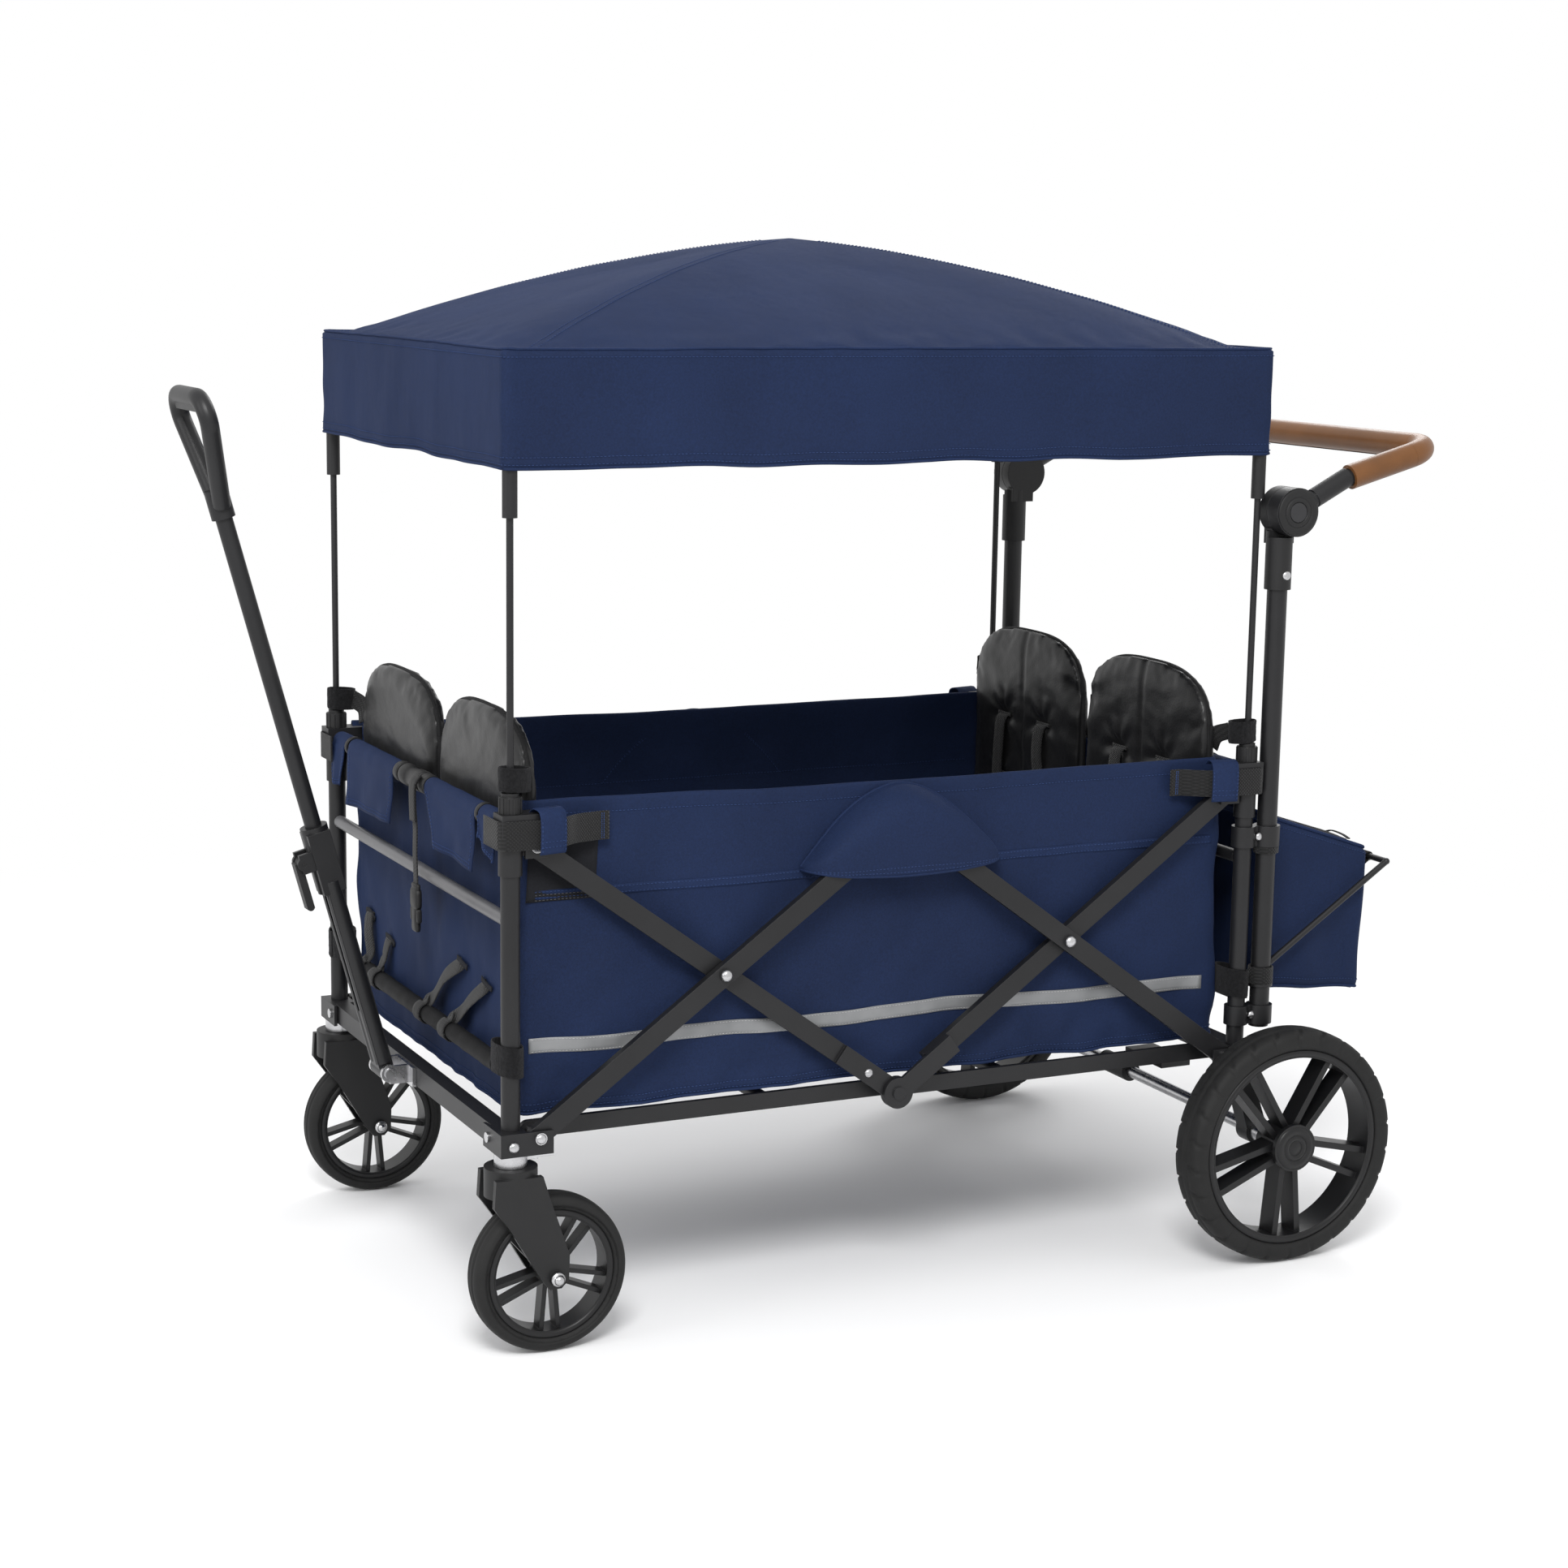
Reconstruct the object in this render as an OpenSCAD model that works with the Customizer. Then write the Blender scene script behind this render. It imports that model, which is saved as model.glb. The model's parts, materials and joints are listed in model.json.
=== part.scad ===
// Folding four-seat pull wagon with a canopy, drawn at rest (open, canopy up).
// Millimetres. +Z up, ground at z = 0, -X is the pulling end, +X the pushing end.
// Origin: on the ground, midway between the four corner posts.

/* [Overall] */
// corner post to corner post along the wagon
body_len = 972; // [900:1:1080]
// corner post to corner post across the wagon
body_w = 644; // [600:1:720]
// centre height of the fabric tub's open edge
rim_z = 630; // [620:1:632]

/* [Frame] */
// corner post outside diameter
post_d = 22; // [20:0.5:24]
// underside of the bottom corner brackets
brkt_z = 237; // [232:1:242]
// height of the lower scissor pivots
piv_lo = 256; // [252:1:260]
// height of the upper scissor pivots
piv_hi = 588; // [580:1:592]
// scissor bar height
bar_h = 24; // [18:1:26]
// scissor bar thickness
bar_t = 10; // [8:1:10]
// pivot pin diameter
pin_d = 8; // [6:0.5:9]
// radial running clearance of shafts in holes
run_c = 0.05; // [0.02:0.01:0.10]

/* [Wheels] */
// rear wheel outside radius
rear_r = 148.7; // [140:0.1:156]
// rear tyre width
rear_w = 50; // [40:1:54]
// front wheel outside radius
front_r = 92.6; // [86:0.1:93]
// front tyre width
front_w = 38; // [30:1:40]
// caster trail, swivel axis to wheel axis
trail = 44; // [36:1:46]

/* [Canopy] */
// hem of the canopy skirt
skirt_z0 = 1005; // [980:1:1020]
// top edge of the canopy skirt
skirt_z1 = 1133; // [1120:1:1150]
// peak of the canopy
peak_z = 1257; // [1220:1:1280]
// canopy pole diameter
pole_d = 8; // [6:0.5:9]

/* [Handles] */
// forward lean of the pull handle, degrees
pull_lean = 15.4; // [8:0.1:24]
// length of the pull handle's upper tube above its clamp
pull_up = 395; // [340:1:420]
// centre height of the push handle hubs
hub_z = 936; // [920:1:960]
// push handle reach from hub to cross bar
push_reach = 208; // [190:1:230]

/* [Hidden] */
px = body_len/2;
py = body_w/2;
pr = post_d/2;
sx = px - 28;            // scissor pivot distance from the middle
xz = (piv_lo + piv_hi)/2; // crossing height
th0 = atan2(piv_hi - piv_lo, sx);
bl = sqrt(sx*sx + (piv_hi - piv_lo)*(piv_hi - piv_lo));
prr = pin_d/2;           // pin radius
pbr = pin_d/2 + run_c;   // bore radius on a pin
yi0 = py - 6;            // inner bars, inner face
yi1 = yi0 + bar_t;       // inner bars, outer face
yo0 = py + 6;            // outer bars, inner face
yo1 = yo0 + bar_t;       // outer bars, outer face
ypl = py + 17.5;         // bracket side plate, inner face
yrr = py - 9;            // rear rail halves, outer face
yrf = py - 17;           // front rail halves, outer face
tx = px - 14;            // tub outer half length
ty = py - 14;            // tub outer half width
tz0 = piv_lo + 14;       // tub underside
ax_x = px + 33;          // rear axle
ax_z = rear_r;
wy0 = py + 43;           // rear tyre inner face
cz = brkt_z - 15;        // caster housing top
fwx = -px + trail;       // front wheel axis
pxx = px + 32;           // push posts
pyy = py + 4;
hx = px + 41;            // push hubs
rod_r = pole_d/2;
slide_r = pr - 2.05;     // telescoping slide tube radius
cw = px + 11;            // canopy outer half length
cd = py + 11;            // canopy outer half width
pull_x = -px - 44;       // pull handle pivot
e = 0.01;

blk = [0.06, 0.06, 0.065];
navy = [0.05, 0.08, 0.2];
tan_c = [0.48, 0.3, 0.12];
steel = [0.6, 0.6, 0.62];

// helpers -----------------------------------------------------------------
module both() {
  children();
  mirror([0, 1, 0]) children();
}

module ends() {
  children();
  mirror([1, 0, 0]) children();
}

module box(a, b) {
  translate(a) cube([b[0] - a[0], b[1] - a[1], b[2] - a[2]]);
}

module ycyl(x, y0, y1, z, r) {
  translate([x, y1, z]) rotate([90, 0, 0]) cylinder(h = y1 - y0, r = r, $fn = 64);
}

module zcyl(x, y, z0, z1, r) {
  translate([x, y, z0]) cylinder(h = z1 - z0, r = r, $fn = 64);
}

module seg(p, q, r) {
  d = q - p;
  l = norm(d);
  translate(p) rotate([0, acos(d[2]/l), atan2(d[1], d[0])]) cylinder(h = l, r = r, $fn = 40);
}

module ball(p, r) {
  translate(p) sphere(r = r, $fn = 40);
}

// flat bar in the XZ plane on the -Y side, from p to q, y from -y1 to -y0
module flat(p, q, y0, y1, h, s, t) {
  a = atan2(q[1] - p[1], q[0] - p[0]);
  l = norm(q - p);
  translate([p[0], -y1, p[1]]) rotate([0, -a, 0]) translate([s, 0, -h/2]) cube([l - s - t, y1 - y0, h]);
}

// hollow rectangular tube with a rounded, bored far end at q; starts s short of p
module bar(p, q, y0, y1, s) {
  m = [(p[0] + q[0])/2, (p[1] + q[1])/2];
  difference() {
    union() {
      flat(p, q, y0, y1, bar_h, s, 0);
      ycyl(q[0], -y1 + 0.2, -y0 - 0.2, q[1], bar_h/2 + 0.6);
    }
    flat(p, q, y0 + 1.6, y1 - 1.6, bar_h - 3.2, s + 44, 16);
    ycyl(q[0], -y1 - 1, -y0 + 1, q[1], pbr);
    ycyl(m[0], -y1 - 1, -y0 + 1, m[1], pbr);
  }
}

// knuckle tongue on a bar: disc at p with a hole of radius h, running s along towards q
module tongue(p, q, y0, y1, s, h) {
  l = norm(q - p);
  difference() {
    union() {
      flat(p, q, y0, y1, bar_h + 0.6, 0, l - s);
      ycyl(p[0], -y1, -y0, p[1], 19);
    }
    if (h > 0) ycyl(p[0], -y1 - 1, -y0 + 1, p[1], h);
  }
}

// corner posts --------------------------------------------------------------
module posts_at(x) {
  both() difference() {
    zcyl(x, -py, brkt_z + 27, rim_z - 30, pr);
    zcyl(x, -py, brkt_z + 31, rim_z - 20, slide_r + run_c);
  }
}

module rear_posts() {
  color(blk) posts_at(px);
}

module front_posts() {
  color(blk) posts_at(-px);
}

module bottom_rail() {
  difference() {
    box([px - 6, -py + 26, brkt_z + 3], [px + 14, py - 26, brkt_z + 27]);
    box([px - 4.4, -py + 20, brkt_z + 4.6], [px + 12.4, py - 20, brkt_z + 25.4]);
  }
}

module rear_rails() {
  color(blk) {
    bottom_rail();
    cross_rails();
  }
}

module front_bottom_rail() {
  color(blk) mirror([1, 0, 0]) bottom_rail();
}

module bracket() {
  difference() {
    union() {
      box([px - 13, -py - 16, brkt_z], [px + 16, -py + 26, brkt_z + 27]);
      box([px - 44, -ypl - 3.5, brkt_z], [px + 16, -ypl, brkt_z + 27]);
      box([px - 13, -ypl - 3.5, brkt_z], [px + 19, -py - 15, brkt_z + 27]);
      box([px + 15, -ypl - 3.5, brkt_z], [px + 19, -py + 38, brkt_z + 27]);
    }
    ycyl(sx, -ypl - 5, -ypl + 1, piv_lo, prr);
  }
}

module rear_brackets() {
  color(blk) both() bracket();
}

module front_brackets() {
  color(blk) both() mirror([1, 0, 0]) bracket();
}

module cross_rails() {
  ycyl(px, -py + pr + 0.2, py - pr - 0.2, 503, 8);
  ycyl(px, -py + pr + 0.2, py - pr - 0.2, 330, 9.5);
}

module front_cross_rails() {
  color([0.25, 0.25, 0.26]) mirror([1, 0, 0]) cross_rails();
}

// lower pivot pins with heads and inner nuts, plus the bracket screws
module low_pins() {
  ycyl(sx, -ypl - 3.5, -yrf + 8, piv_lo, prr);
  ycyl(sx, -ypl - 7, -ypl - 3.5, piv_lo, 7);
  ycyl(sx, -yrf + 8, -yrf + 13, piv_lo, 7);
  ycyl(px + 4, -ypl - 6, -ypl - 3.5, brkt_z + 12, 6);
  translate([px + 19, -py + 22, brkt_z + 14]) rotate([0, 90, 0]) cylinder(h = 2.5, r = 6, $fn = 40);
}

module rear_pins() {
  color(steel) both() low_pins();
}

module front_pins() {
  color(steel) both() mirror([1, 0, 0]) low_pins();
}

// rear axle ------------------------------------------------------------------
module rear_legs() {
  color(blk) both() difference() {
    union() {
      translate([0, -py + 12, 0]) rotate([90, 0, 0]) linear_extrude(height = 24)
        polygon([[px - 9, brkt_z], [px + 17, brkt_z], [ax_x + 15, ax_z], [ax_x - 15, ax_z]]);
      ycyl(ax_x, -py - 12, -py + 12, ax_z, 17);
    }
    ycyl(ax_x, -py - 20, -py + 20, ax_z, 8);
  }
}

module rear_axle() {
  color(steel) {
    ycyl(ax_x, -wy0 - rear_w - 2, wy0 + rear_w + 2, ax_z, 8);
    both() ycyl(ax_x, -wy0 + 1, -py - 12, ax_z, 13);
  }
}

// telescoping top corners --------------------------------------------------------
module casting() {
  difference() {
    union() {
      box([px - 40, -py - 16, rim_z - 29.5], [px + 15, -py + 13, rim_z - 4]);
      zcyl(px, -py, rim_z - 74, rim_z - 29, pr + 2.5);
      box([sx - 13, -py - 9.5, piv_hi - 13], [px - 14.5, -py - 5.5, rim_z - 20]);
      box([sx - 13, -py + 8, piv_hi - 13], [px - 14.5, -py + 11.5, rim_z - 20]);
      zcyl(px, -py, 340, rim_z - 20, slide_r);
    }
    difference() {
      zcyl(px, -py, 330, rim_z - 29.5, pr + run_c);
      zcyl(px, -py, 320, rim_z, slide_r);
    }
    zcyl(px, -py, 320, rim_z + 10, rod_r + run_c);
    ycyl(sx, -py - 12, -py + 14, piv_hi, prr);
    box([sx - 14, -py - 5.5, piv_hi - 16], [px - 13.8, -py + 8, piv_hi + 13]);
  }
}

module rear_castings() {
  color(blk) both() casting();
}

module front_castings() {
  color(blk) both() mirror([1, 0, 0]) casting();
}

module top_rail() {
  ycyl(px, -py + 13, py - 13, rim_z - 18, 9);
}

module rear_top_rail() {
  color(blk) top_rail();
}

module front_top_rail() {
  color(blk) mirror([1, 0, 0]) top_rail();
}

module collar() {
  difference() {
    union() {
      zcyl(px, -py, rim_z - 4, rim_z + 15, 12.5);
      zcyl(px, -py, rim_z + 15, rim_z + 19, 10);
      for (i = [0:11]) rotate_about(px, -py, i*30) box([px + 11.8, -py - 1.2, rim_z - 4], [px + 13.3, -py + 1.2, rim_z + 14]);
    }
    zcyl(px, -py, rim_z - 10, rim_z + 30, rod_r + run_c);
  }
}

module rotate_about(x, y, a) {
  translate([x, y, 0]) rotate([0, 0, a]) translate([-x, -y, 0]) children();
}

module rear_collars() {
  color(blk) both() collar();
}

module front_collars() {
  color(blk) both() mirror([1, 0, 0]) collar();
}

module top_bolts() {
  ycyl(sx, -py - 9.5, -py + 11.5, piv_hi, prr);
  ycyl(sx, -py - 12, -py - 9.5, piv_hi, 7);
}

module rear_bolts() {
  color(steel) both() top_bolts();
}

module front_bolts() {
  color(steel) both() mirror([1, 0, 0]) top_bolts();
}

// scissor bars ----------------------------------------------------------------
// a: inner, lower centre to front top. d: inner, lower centre to rear top.
// b: outer, upper centre to front bottom. c: outer, upper centre to rear bottom.
lc = [0, piv_lo];
uc = [0, piv_hi];

module bars_a() {
  color(blk) both() {
    bar(lc, [-sx, piv_hi], yi0, yi1, 54);
    tongue(lc, [-sx, piv_hi], yi1 - 1, yi1 + 5, 92, prr + 0.3);
  }
}

module bars_d() {
  color(blk) both() {
    bar(lc, [sx, piv_hi], yi0, yi1, 54);
    tongue(lc, [sx, piv_hi], yi1 + 5.5, yi1 + 10.5, 92, 0);
    flat(lc, [sx, piv_hi], yi1 - 1, yi1 + 5.6, bar_h, 56, bl - 92);
    ycyl(0, -yi1 - 6, -yi1 + 1, piv_lo, prr);
    ycyl(0, -yi1 - 13, -yi1 - 10.5, piv_lo, 8);
  }
}

// crossing pin, fixed in the outer bar: head outside, nut inside the inner bar
module cross_pin(x) {
  ycyl(x, -yo1 - 1, -yi0 + 1.6, xz, prr);
  ycyl(x, -yo1 - 3, -yo1 + 1, xz, 7.5);
  ycyl(x, -yi0 + 0.6, -yi0 + 2.6, xz, 7);
}

module bars_b() {
  color(blk) both() {
    bar(uc, [-sx, piv_lo], yo0, yo1, 54);
    tongue(uc, [-sx, piv_lo], yo0 - 5, yo0 + 1, 92, pbr);
    cross_pin(-sx/2);
  }
}

module bars_c() {
  color(blk) both() {
    bar(uc, [sx, piv_lo], yo0, yo1, 54);
    tongue(uc, [sx, piv_lo], yo0 - 10.5, yo0 - 5.5, 92, 0);
    flat(uc, [sx, piv_lo], yo0 - 5.6, yo0 + 1, bar_h, 56, bl - 92);
    ycyl(0, -yo0 - 3, -yo0 + 6, piv_hi, prr);
    cross_pin(sx/2);
  }
}

// lower side rails, two halves each side, with a cross tube --------------------
module half_rails(y1, y0) {
  both() difference() {
    union() {
      flat([0, piv_lo], [sx, piv_lo], y0, y1, 20, 0, 0);
      ycyl(sx, -y1, -y0, piv_lo, 10);
      ycyl(0, -y1, -y0, piv_lo, 10);
    }
    ycyl(sx, -y1 - 1, -y0 + 1, piv_lo, pbr);
  }
  ycyl(sx - 300, -y0 - 1, y0 + 1, piv_lo, 8);
}

module lower_rails_rear() {
  color(blk) half_rails(yrr, yrr - 7);
}

module lower_rails_front() {
  color(blk) mirror([1, 0, 0]) half_rails(yrf, yrf - 7);
}

// fabric tub, floor pad and padded backs ----------------------------------------
module tub() {
  color(navy) difference() {
    union() {
      box([-tx, -ty, tz0], [tx, ty, rim_z]);
      ends() box([tx - 1, -ty + 8, rim_z - 26], [tx + 4.7, ty - 8, rim_z - 1]);
    }
    box([-tx + 4, -ty + 4, tz0 + 4], [tx - 4, ty - 4, rim_z + 10]);
  }
}

module floor_pad() {
  color([0.1, 0.1, 0.12]) {
    box([-tx + 8, -ty + 12, tz0 + 4.3], [tx - 8, ty - 12, tz0 + 14]);
    ends() both() box([tx - 250, -ty + 20, tz0 + 14], [tx - 50, -12, tz0 + 38]);
  }
}

module seatback(top) {
  w = ty - 14 - 8;
  c = -8 - w/2;
  box([tx - 40, -ty + 14, tz0 + 15], [tx - 4.3, -8, top - 90]);
  translate([tx - 40, c, top - 90]) rotate([90, 0, 90]) linear_extrude(height = 35.7)
    polygon([[-w/2, 0], [w/2, 0], [w/2 - 4, 30], [w/2 - 18, 58], [w/2 - 44, 80], [w/2 - 78, 89],
      [0, 90], [-w/2 + 78, 89], [-w/2 + 44, 80], [-w/2 + 18, 58], [-w/2 + 4, 30]]);
}

module rear_seatbacks() {
  color(blk) both() seatback(736);
}

module front_seatbacks() {
  color(blk) both() mirror([1, 0, 0]) seatback(712);
}

// rear bag and its hoop ------------------------------------------------------------
module prism(pts, y) {
  translate([0, y, 0]) rotate([90, 0, 0]) linear_extrude(height = 2*y) polygon(pts);
}

bag_y = pyy - 36;        // bag half width, clear of the push posts

module rear_bag() {
  color(navy) difference() {
    prism([[pxx + 14, 318], [pxx + 30, 306], [pxx + 192, 300], [pxx + 204, 312], [pxx + 204, 488], [pxx + 14, 552]], bag_y);
    prism([[pxx + 17, 320], [pxx + 31, 309], [pxx + 191, 303], [pxx + 201, 314], [pxx + 201, 600], [pxx + 17, 600]], bag_y - 3);
  }
}

module bag_hoop() {
  pa = [pxx + 6, -pyy + 14, 346];
  pb = [pxx + 24, -bag_y - 8, 352];
  pc = [pxx + 208.4, -bag_y - 8, 476];
  color(blk) {
    both() {
      seg(pa, pb, 4);
      seg(pb, pc, 4);
      ball(pb, 4.4);
      ball(pc, 4.4);
      difference() {
        zcyl(pxx, -pyy, 338, 354, 15.5);
        zcyl(pxx, -pyy, 330, 360, 12.5);
      }
    }
    seg(pc, [pxx + 208.4, bag_y + 8, 476], 4);
  }
}

// push handle -----------------------------------------------------------------------
module push_posts() {
  color(blk) both() difference() {
    zcyl(pxx, -pyy, 286, hub_z - 40, 12.5);
    zcyl(pxx, -pyy, 280, hub_z - 60, 10.5);
  }
}

module clamp_at(z, h) {
  difference() {
    union() {
      zcyl(px, -py, z, z + h, pr + 4);
      zcyl(pxx, -pyy, z, z + h, 16.5);
      box([px, -py - 8, z], [pxx, -py + 6, z + h]);
    }
    zcyl(px, -py, z - 1, z + h + 1, pr);
    zcyl(pxx, -pyy, z - 1, z + h + 1, 12.5);
  }
  translate([(px + pxx)/2, -py - 9.4, z + h/2]) rotate([90, 0, 0]) cylinder(h = 2.5, r = 5, $fn = 32);
}

module push_clamps() {
  color(blk) both() {
    clamp_at(518, 26);
    clamp_at(290, 24);
  }
}

module push_hinge_bases() {
  color(blk) both() difference() {
    union() {
      zcyl(pxx, -pyy, hub_z - 96, hub_z - 24, 16.5);
      box([pxx - 12, -pyy - 0.5, hub_z - 40], [hx + 12, -pyy + 16, hub_z]);
      ycyl(hx, -pyy - 0.5, -pyy + 16, hub_z, 30);
    }
    zcyl(pxx, -pyy, hub_z - 100, hub_z - 40, 12.5);
    box([pxx - 40, -pyy - 30, hub_z - 31.5], [hx + 40, -pyy - 0.5, hub_z + 40]);
    ycyl(hx, -pyy - 2, -pyy + 6, hub_z, 6 + run_c);
  }
}

yh = pyy + 12.5;         // handle tube plane
arm_t = 27.4;            // arm angle at the hub
arm_l = 84;              // length of the arm, hub to bow
bow_t = 15.5;            // bow tilt
bow_r = 36;              // bow corner radius
gx = hx + arm_l*cos(arm_t);
gz = hub_z + arm_l*sin(arm_t);
bow_l = (hx + push_reach - gx)/cos(bow_t) - bow_r;

// U-shaped bow in its own plane, starting a after the arm's end
module bow(r, a) {
  both() {
    translate([a, -yh, 0]) rotate([0, 90, 0]) cylinder(h = bow_l - a, r = r, $fn = 48);
    translate([bow_l, -yh + bow_r, 0]) rotate([0, 0, -90]) rotate_extrude(angle = 90, $fn = 96)
      translate([bow_r, 0]) circle(r = r, $fn = 48);
  }
  translate([bow_l + bow_r, -yh + bow_r, 0]) rotate([-90, 0, 0]) cylinder(h = 2*(yh - bow_r), r = r, $fn = 48);
}

module push_tube() {
  color(blk) {
    both() {
      difference() {
        ycyl(hx, -pyy - 24, -pyy - 1.5, hub_z, 30);
        ycyl(hx, -pyy - 40, -pyy - 17, hub_z, 12 + run_c);
      }
      ycyl(hx, -pyy - 2, -pyy + 5, hub_z, 6);
      translate([hx, -yh, hub_z]) rotate([0, 90 - arm_t, 0]) {
        translate([0, 0, 20]) cylinder(h = 20, r = 10.8, $fn = 48);
        translate([0, 0, 34]) cylinder(h = arm_l - 29, r = 12.2, $fn = 48);
      }
    }
    translate([gx, 0, gz]) rotate([0, -bow_t, 0]) bow(11, -8);
  }
}

// grip sleeve: five lengths with hairline seams between them
module sleeve(l) {
  difference() {
    cylinder(h = l, r = 15.5, $fn = 48);
    translate([0, 0, -1]) cylinder(h = l + 2, r = 11.1, $fn = 48);
  }
}

module push_grip() {
  color(tan_c) translate([gx, 0, gz]) rotate([0, -bow_t, 0]) {
    both() {
      translate([8, -yh, 0]) rotate([0, 90, 0]) sleeve(bow_l - 8.2);
      translate([bow_l, -yh + bow_r, 0]) rotate([0, 0, -90]) rotate_extrude(angle = 90, $fn = 96)
        translate([bow_r, 0]) difference() {
          circle(r = 15.5, $fn = 48);
          circle(r = 11.1, $fn = 48);
        }
    }
    translate([bow_l + bow_r, -yh + bow_r + 0.2, 0]) rotate([-90, 0, 0]) sleeve(2*(yh - bow_r) - 0.4);
  }
}

// pull handle, drawn along its own axis from the pivot ---------------------------------
module lean() {
  translate([pull_x, 0, piv_lo]) rotate([0, -pull_lean, 0]) children();
}

module pull_clevis() {
  color(steel) {
    both() difference() {
      union() {
        box([pull_x, -25, piv_lo - 13], [-px - 19.2, -20, piv_lo + 9]);
        ycyl(pull_x, -25, -20, piv_lo, 11);
      }
      ycyl(pull_x, -30, -10, piv_lo, 4);
    }
    box([-px - 19.2, -34, piv_lo - 17], [-px - 14.2, 34, piv_lo + 7]);
    ycyl(pull_x, -28, 28, piv_lo, 4);
    both() ycyl(pull_x, -28, -25, piv_lo, 7);
  }
}

module pull_lower() {
  color(blk) lean() difference() {
    union() {
      ycyl(0, -19.5, 19.5, 0, 11);
      box([-9, -16, 2], [9, 16, 250]);
      both() zcyl(0, -9, 12, 250, 10.4);
      box([-14, -17, 236], [14, 17, 312]);
      zcyl(0, 0, 236, 318, 16.5);
      both() box([-30, -13, 268], [-12, -8, 292]);
      both() ycyl(-26, -13, -8, 280, 8);
    }
    ycyl(0, -30, 30, 0, 4 + run_c);
    zcyl(0, 0, 80, 330, 10 + run_c);
    both() ycyl(-26, -20, -5, 280, 2.5);
  }
}

module pull_lever() {
  color(blk) lean() {
    ycyl(-26, -13, 13, 280, 2.45);
    ycyl(-26, -7.6, 7.6, 280, 6.5);
    box([-36, -7.6, 224], [-27, 7.6, 282]);
    ycyl(-31.5, -7.6, 7.6, 226, 4.5);
  }
}

module pull_upper() {
  w0 = 312 + pull_up;
  color(blk) lean() {
    difference() {
      zcyl(0, 0, 268, w0, 10);
      zcyl(0, 0, 80, w0 - 10, 8.4);
    }
    zcyl(0, 0, w0 - 8, w0 + 26, 14);
    rotate([90, 0, 90]) translate([0, w0 + 137]) {
      ends() {
        translate([38, -24]) rotate([0, 0, -28]) {
          rotate_extrude(angle = 118, $fn = 96) translate([24, 0]) circle(r = 10.5, $fn = 48);
          translate([24, 0, 0]) rotate([90, 0, 0]) cylinder(h = 106, r = 10.5, $fn = 48);
        }
      }
      translate([-38, 0, 0]) rotate([0, 90, 0]) cylinder(h = 76, r = 10.5, $fn = 48);
    }
    box([-7, -44, w0 + 122], [7, 44, w0 + 132]);
  }
}

// canopy ----------------------------------------------------------------------------------
module poles() {
  both() {
    zcyl(px, -py, 590, skirt_z1 - 8, rod_r);
    difference() {
      zcyl(px, -py, skirt_z0 - 53, skirt_z1 - 3.3, 8.5);
      zcyl(px, -py, skirt_z0 - 60, skirt_z1 - 8, rod_r);
    }
  }
}

module rear_poles() {
  color(blk) poles();
}

module front_poles() {
  color(blk) mirror([1, 0, 0]) poles();
}

module slab(w, d, z) {
  translate([-w, -d, z]) cube([2*w, 2*d, 0.5]);
}

module roof(t) {
  hull() {
    slab(cw - t, cd - t, skirt_z1 - 1 - t*1.3);
    slab(cw*0.62 - t, cd*0.62 - t, skirt_z1 + (peak_z - skirt_z1)*0.52 - t*1.3);
    slab(cw*0.28 - t, cd*0.28 - t, skirt_z1 + (peak_z - skirt_z1)*0.84 - t*1.3);
    slab(16 - t, 16 - t, peak_z - 0.5 - t*1.3);
  }
}

module canopy() {
  color(navy) difference() {
    union() {
      box([-cw, -cd, skirt_z0], [cw, cd, skirt_z1 - 0.5]);
      roof(0);
    }
    box([-cw + 2.2, -cd + 2.2, skirt_z0 - 5], [cw - 2.2, cd - 2.2, skirt_z1 - 3]);
    roof(2.2);
  }
}

module canopy_ribs() {
  color(steel) {
    zcyl(0, 0, peak_z - 22, peak_z - 5, 9);
    both() ends() seg([0, 0, peak_z - 14], [px - 7.1, -py + 5.5, skirt_z1 - 9], 2.5);
  }
}

// casters and wheels -----------------------------------------------------------------------
module caster_stems() {
  color(steel) both() {
    zcyl(-px, -py, cz + 0.5, brkt_z, 19);
    zcyl(-px, -py, cz - 26, cz + 1, 8);
    box([-px + 15, -py - 9, brkt_z - 8], [-px + 30, -py - 6, brkt_z - 0.5]);
    box([-px + 15, -py + 6, brkt_z - 8], [-px + 30, -py + 9, brkt_z - 0.5]);
    ycyl(-px + 26, -py - 9, -py + 9, brkt_z - 5, 2);
  }
}

module fork_arm() {
  translate([0, -py - 22, 0]) rotate([90, 0, 0]) linear_extrude(height = 8.5)
    polygon([[-px - 28, cz - 8], [-px + 28, cz - 8], [-px + 36, cz - 34], [fwx + 16, front_r + 26],
      [fwx + 15, front_r - 4], [fwx + 6, front_r - 13], [fwx - 8, front_r - 13], [fwx - 17, front_r - 2],
      [-px - 12, front_r + 64], [-px - 30, cz - 40]]);
}

module caster_at() {
  difference() {
    union() {
      zcyl(-px, -py, cz - 34, cz, 30.5);
      fork_arm();
      translate([0, -2*py, 0]) mirror([0, 1, 0]) fork_arm();
    }
    zcyl(-px, -py, cz - 27, cz + 5, 8 + run_c);
    ycyl(fwx, -py - 40, -py + 40, front_r, 4);
  }
  ycyl(fwx, -py - 31, -py + 31, front_r, 4);
  ycyl(fwx, -py - 36, -py - 30.5, front_r, 8.8);
  ycyl(fwx, -py + 30.5, -py + 35, front_r, 8.8);
}

module caster_left() {
  color(blk) caster_at();
}

module caster_right() {
  color(blk) mirror([0, 1, 0]) caster_at();
}

// ring with a rectangular section about a Y axis
module yring(x, y0, y1, z, r0, r1) {
  translate([x, y1, z]) rotate([90, 0, 0]) rotate_extrude($fn = 96)
    translate([r0, 0]) square([r1 - r0, y1 - y0]);
}

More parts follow.
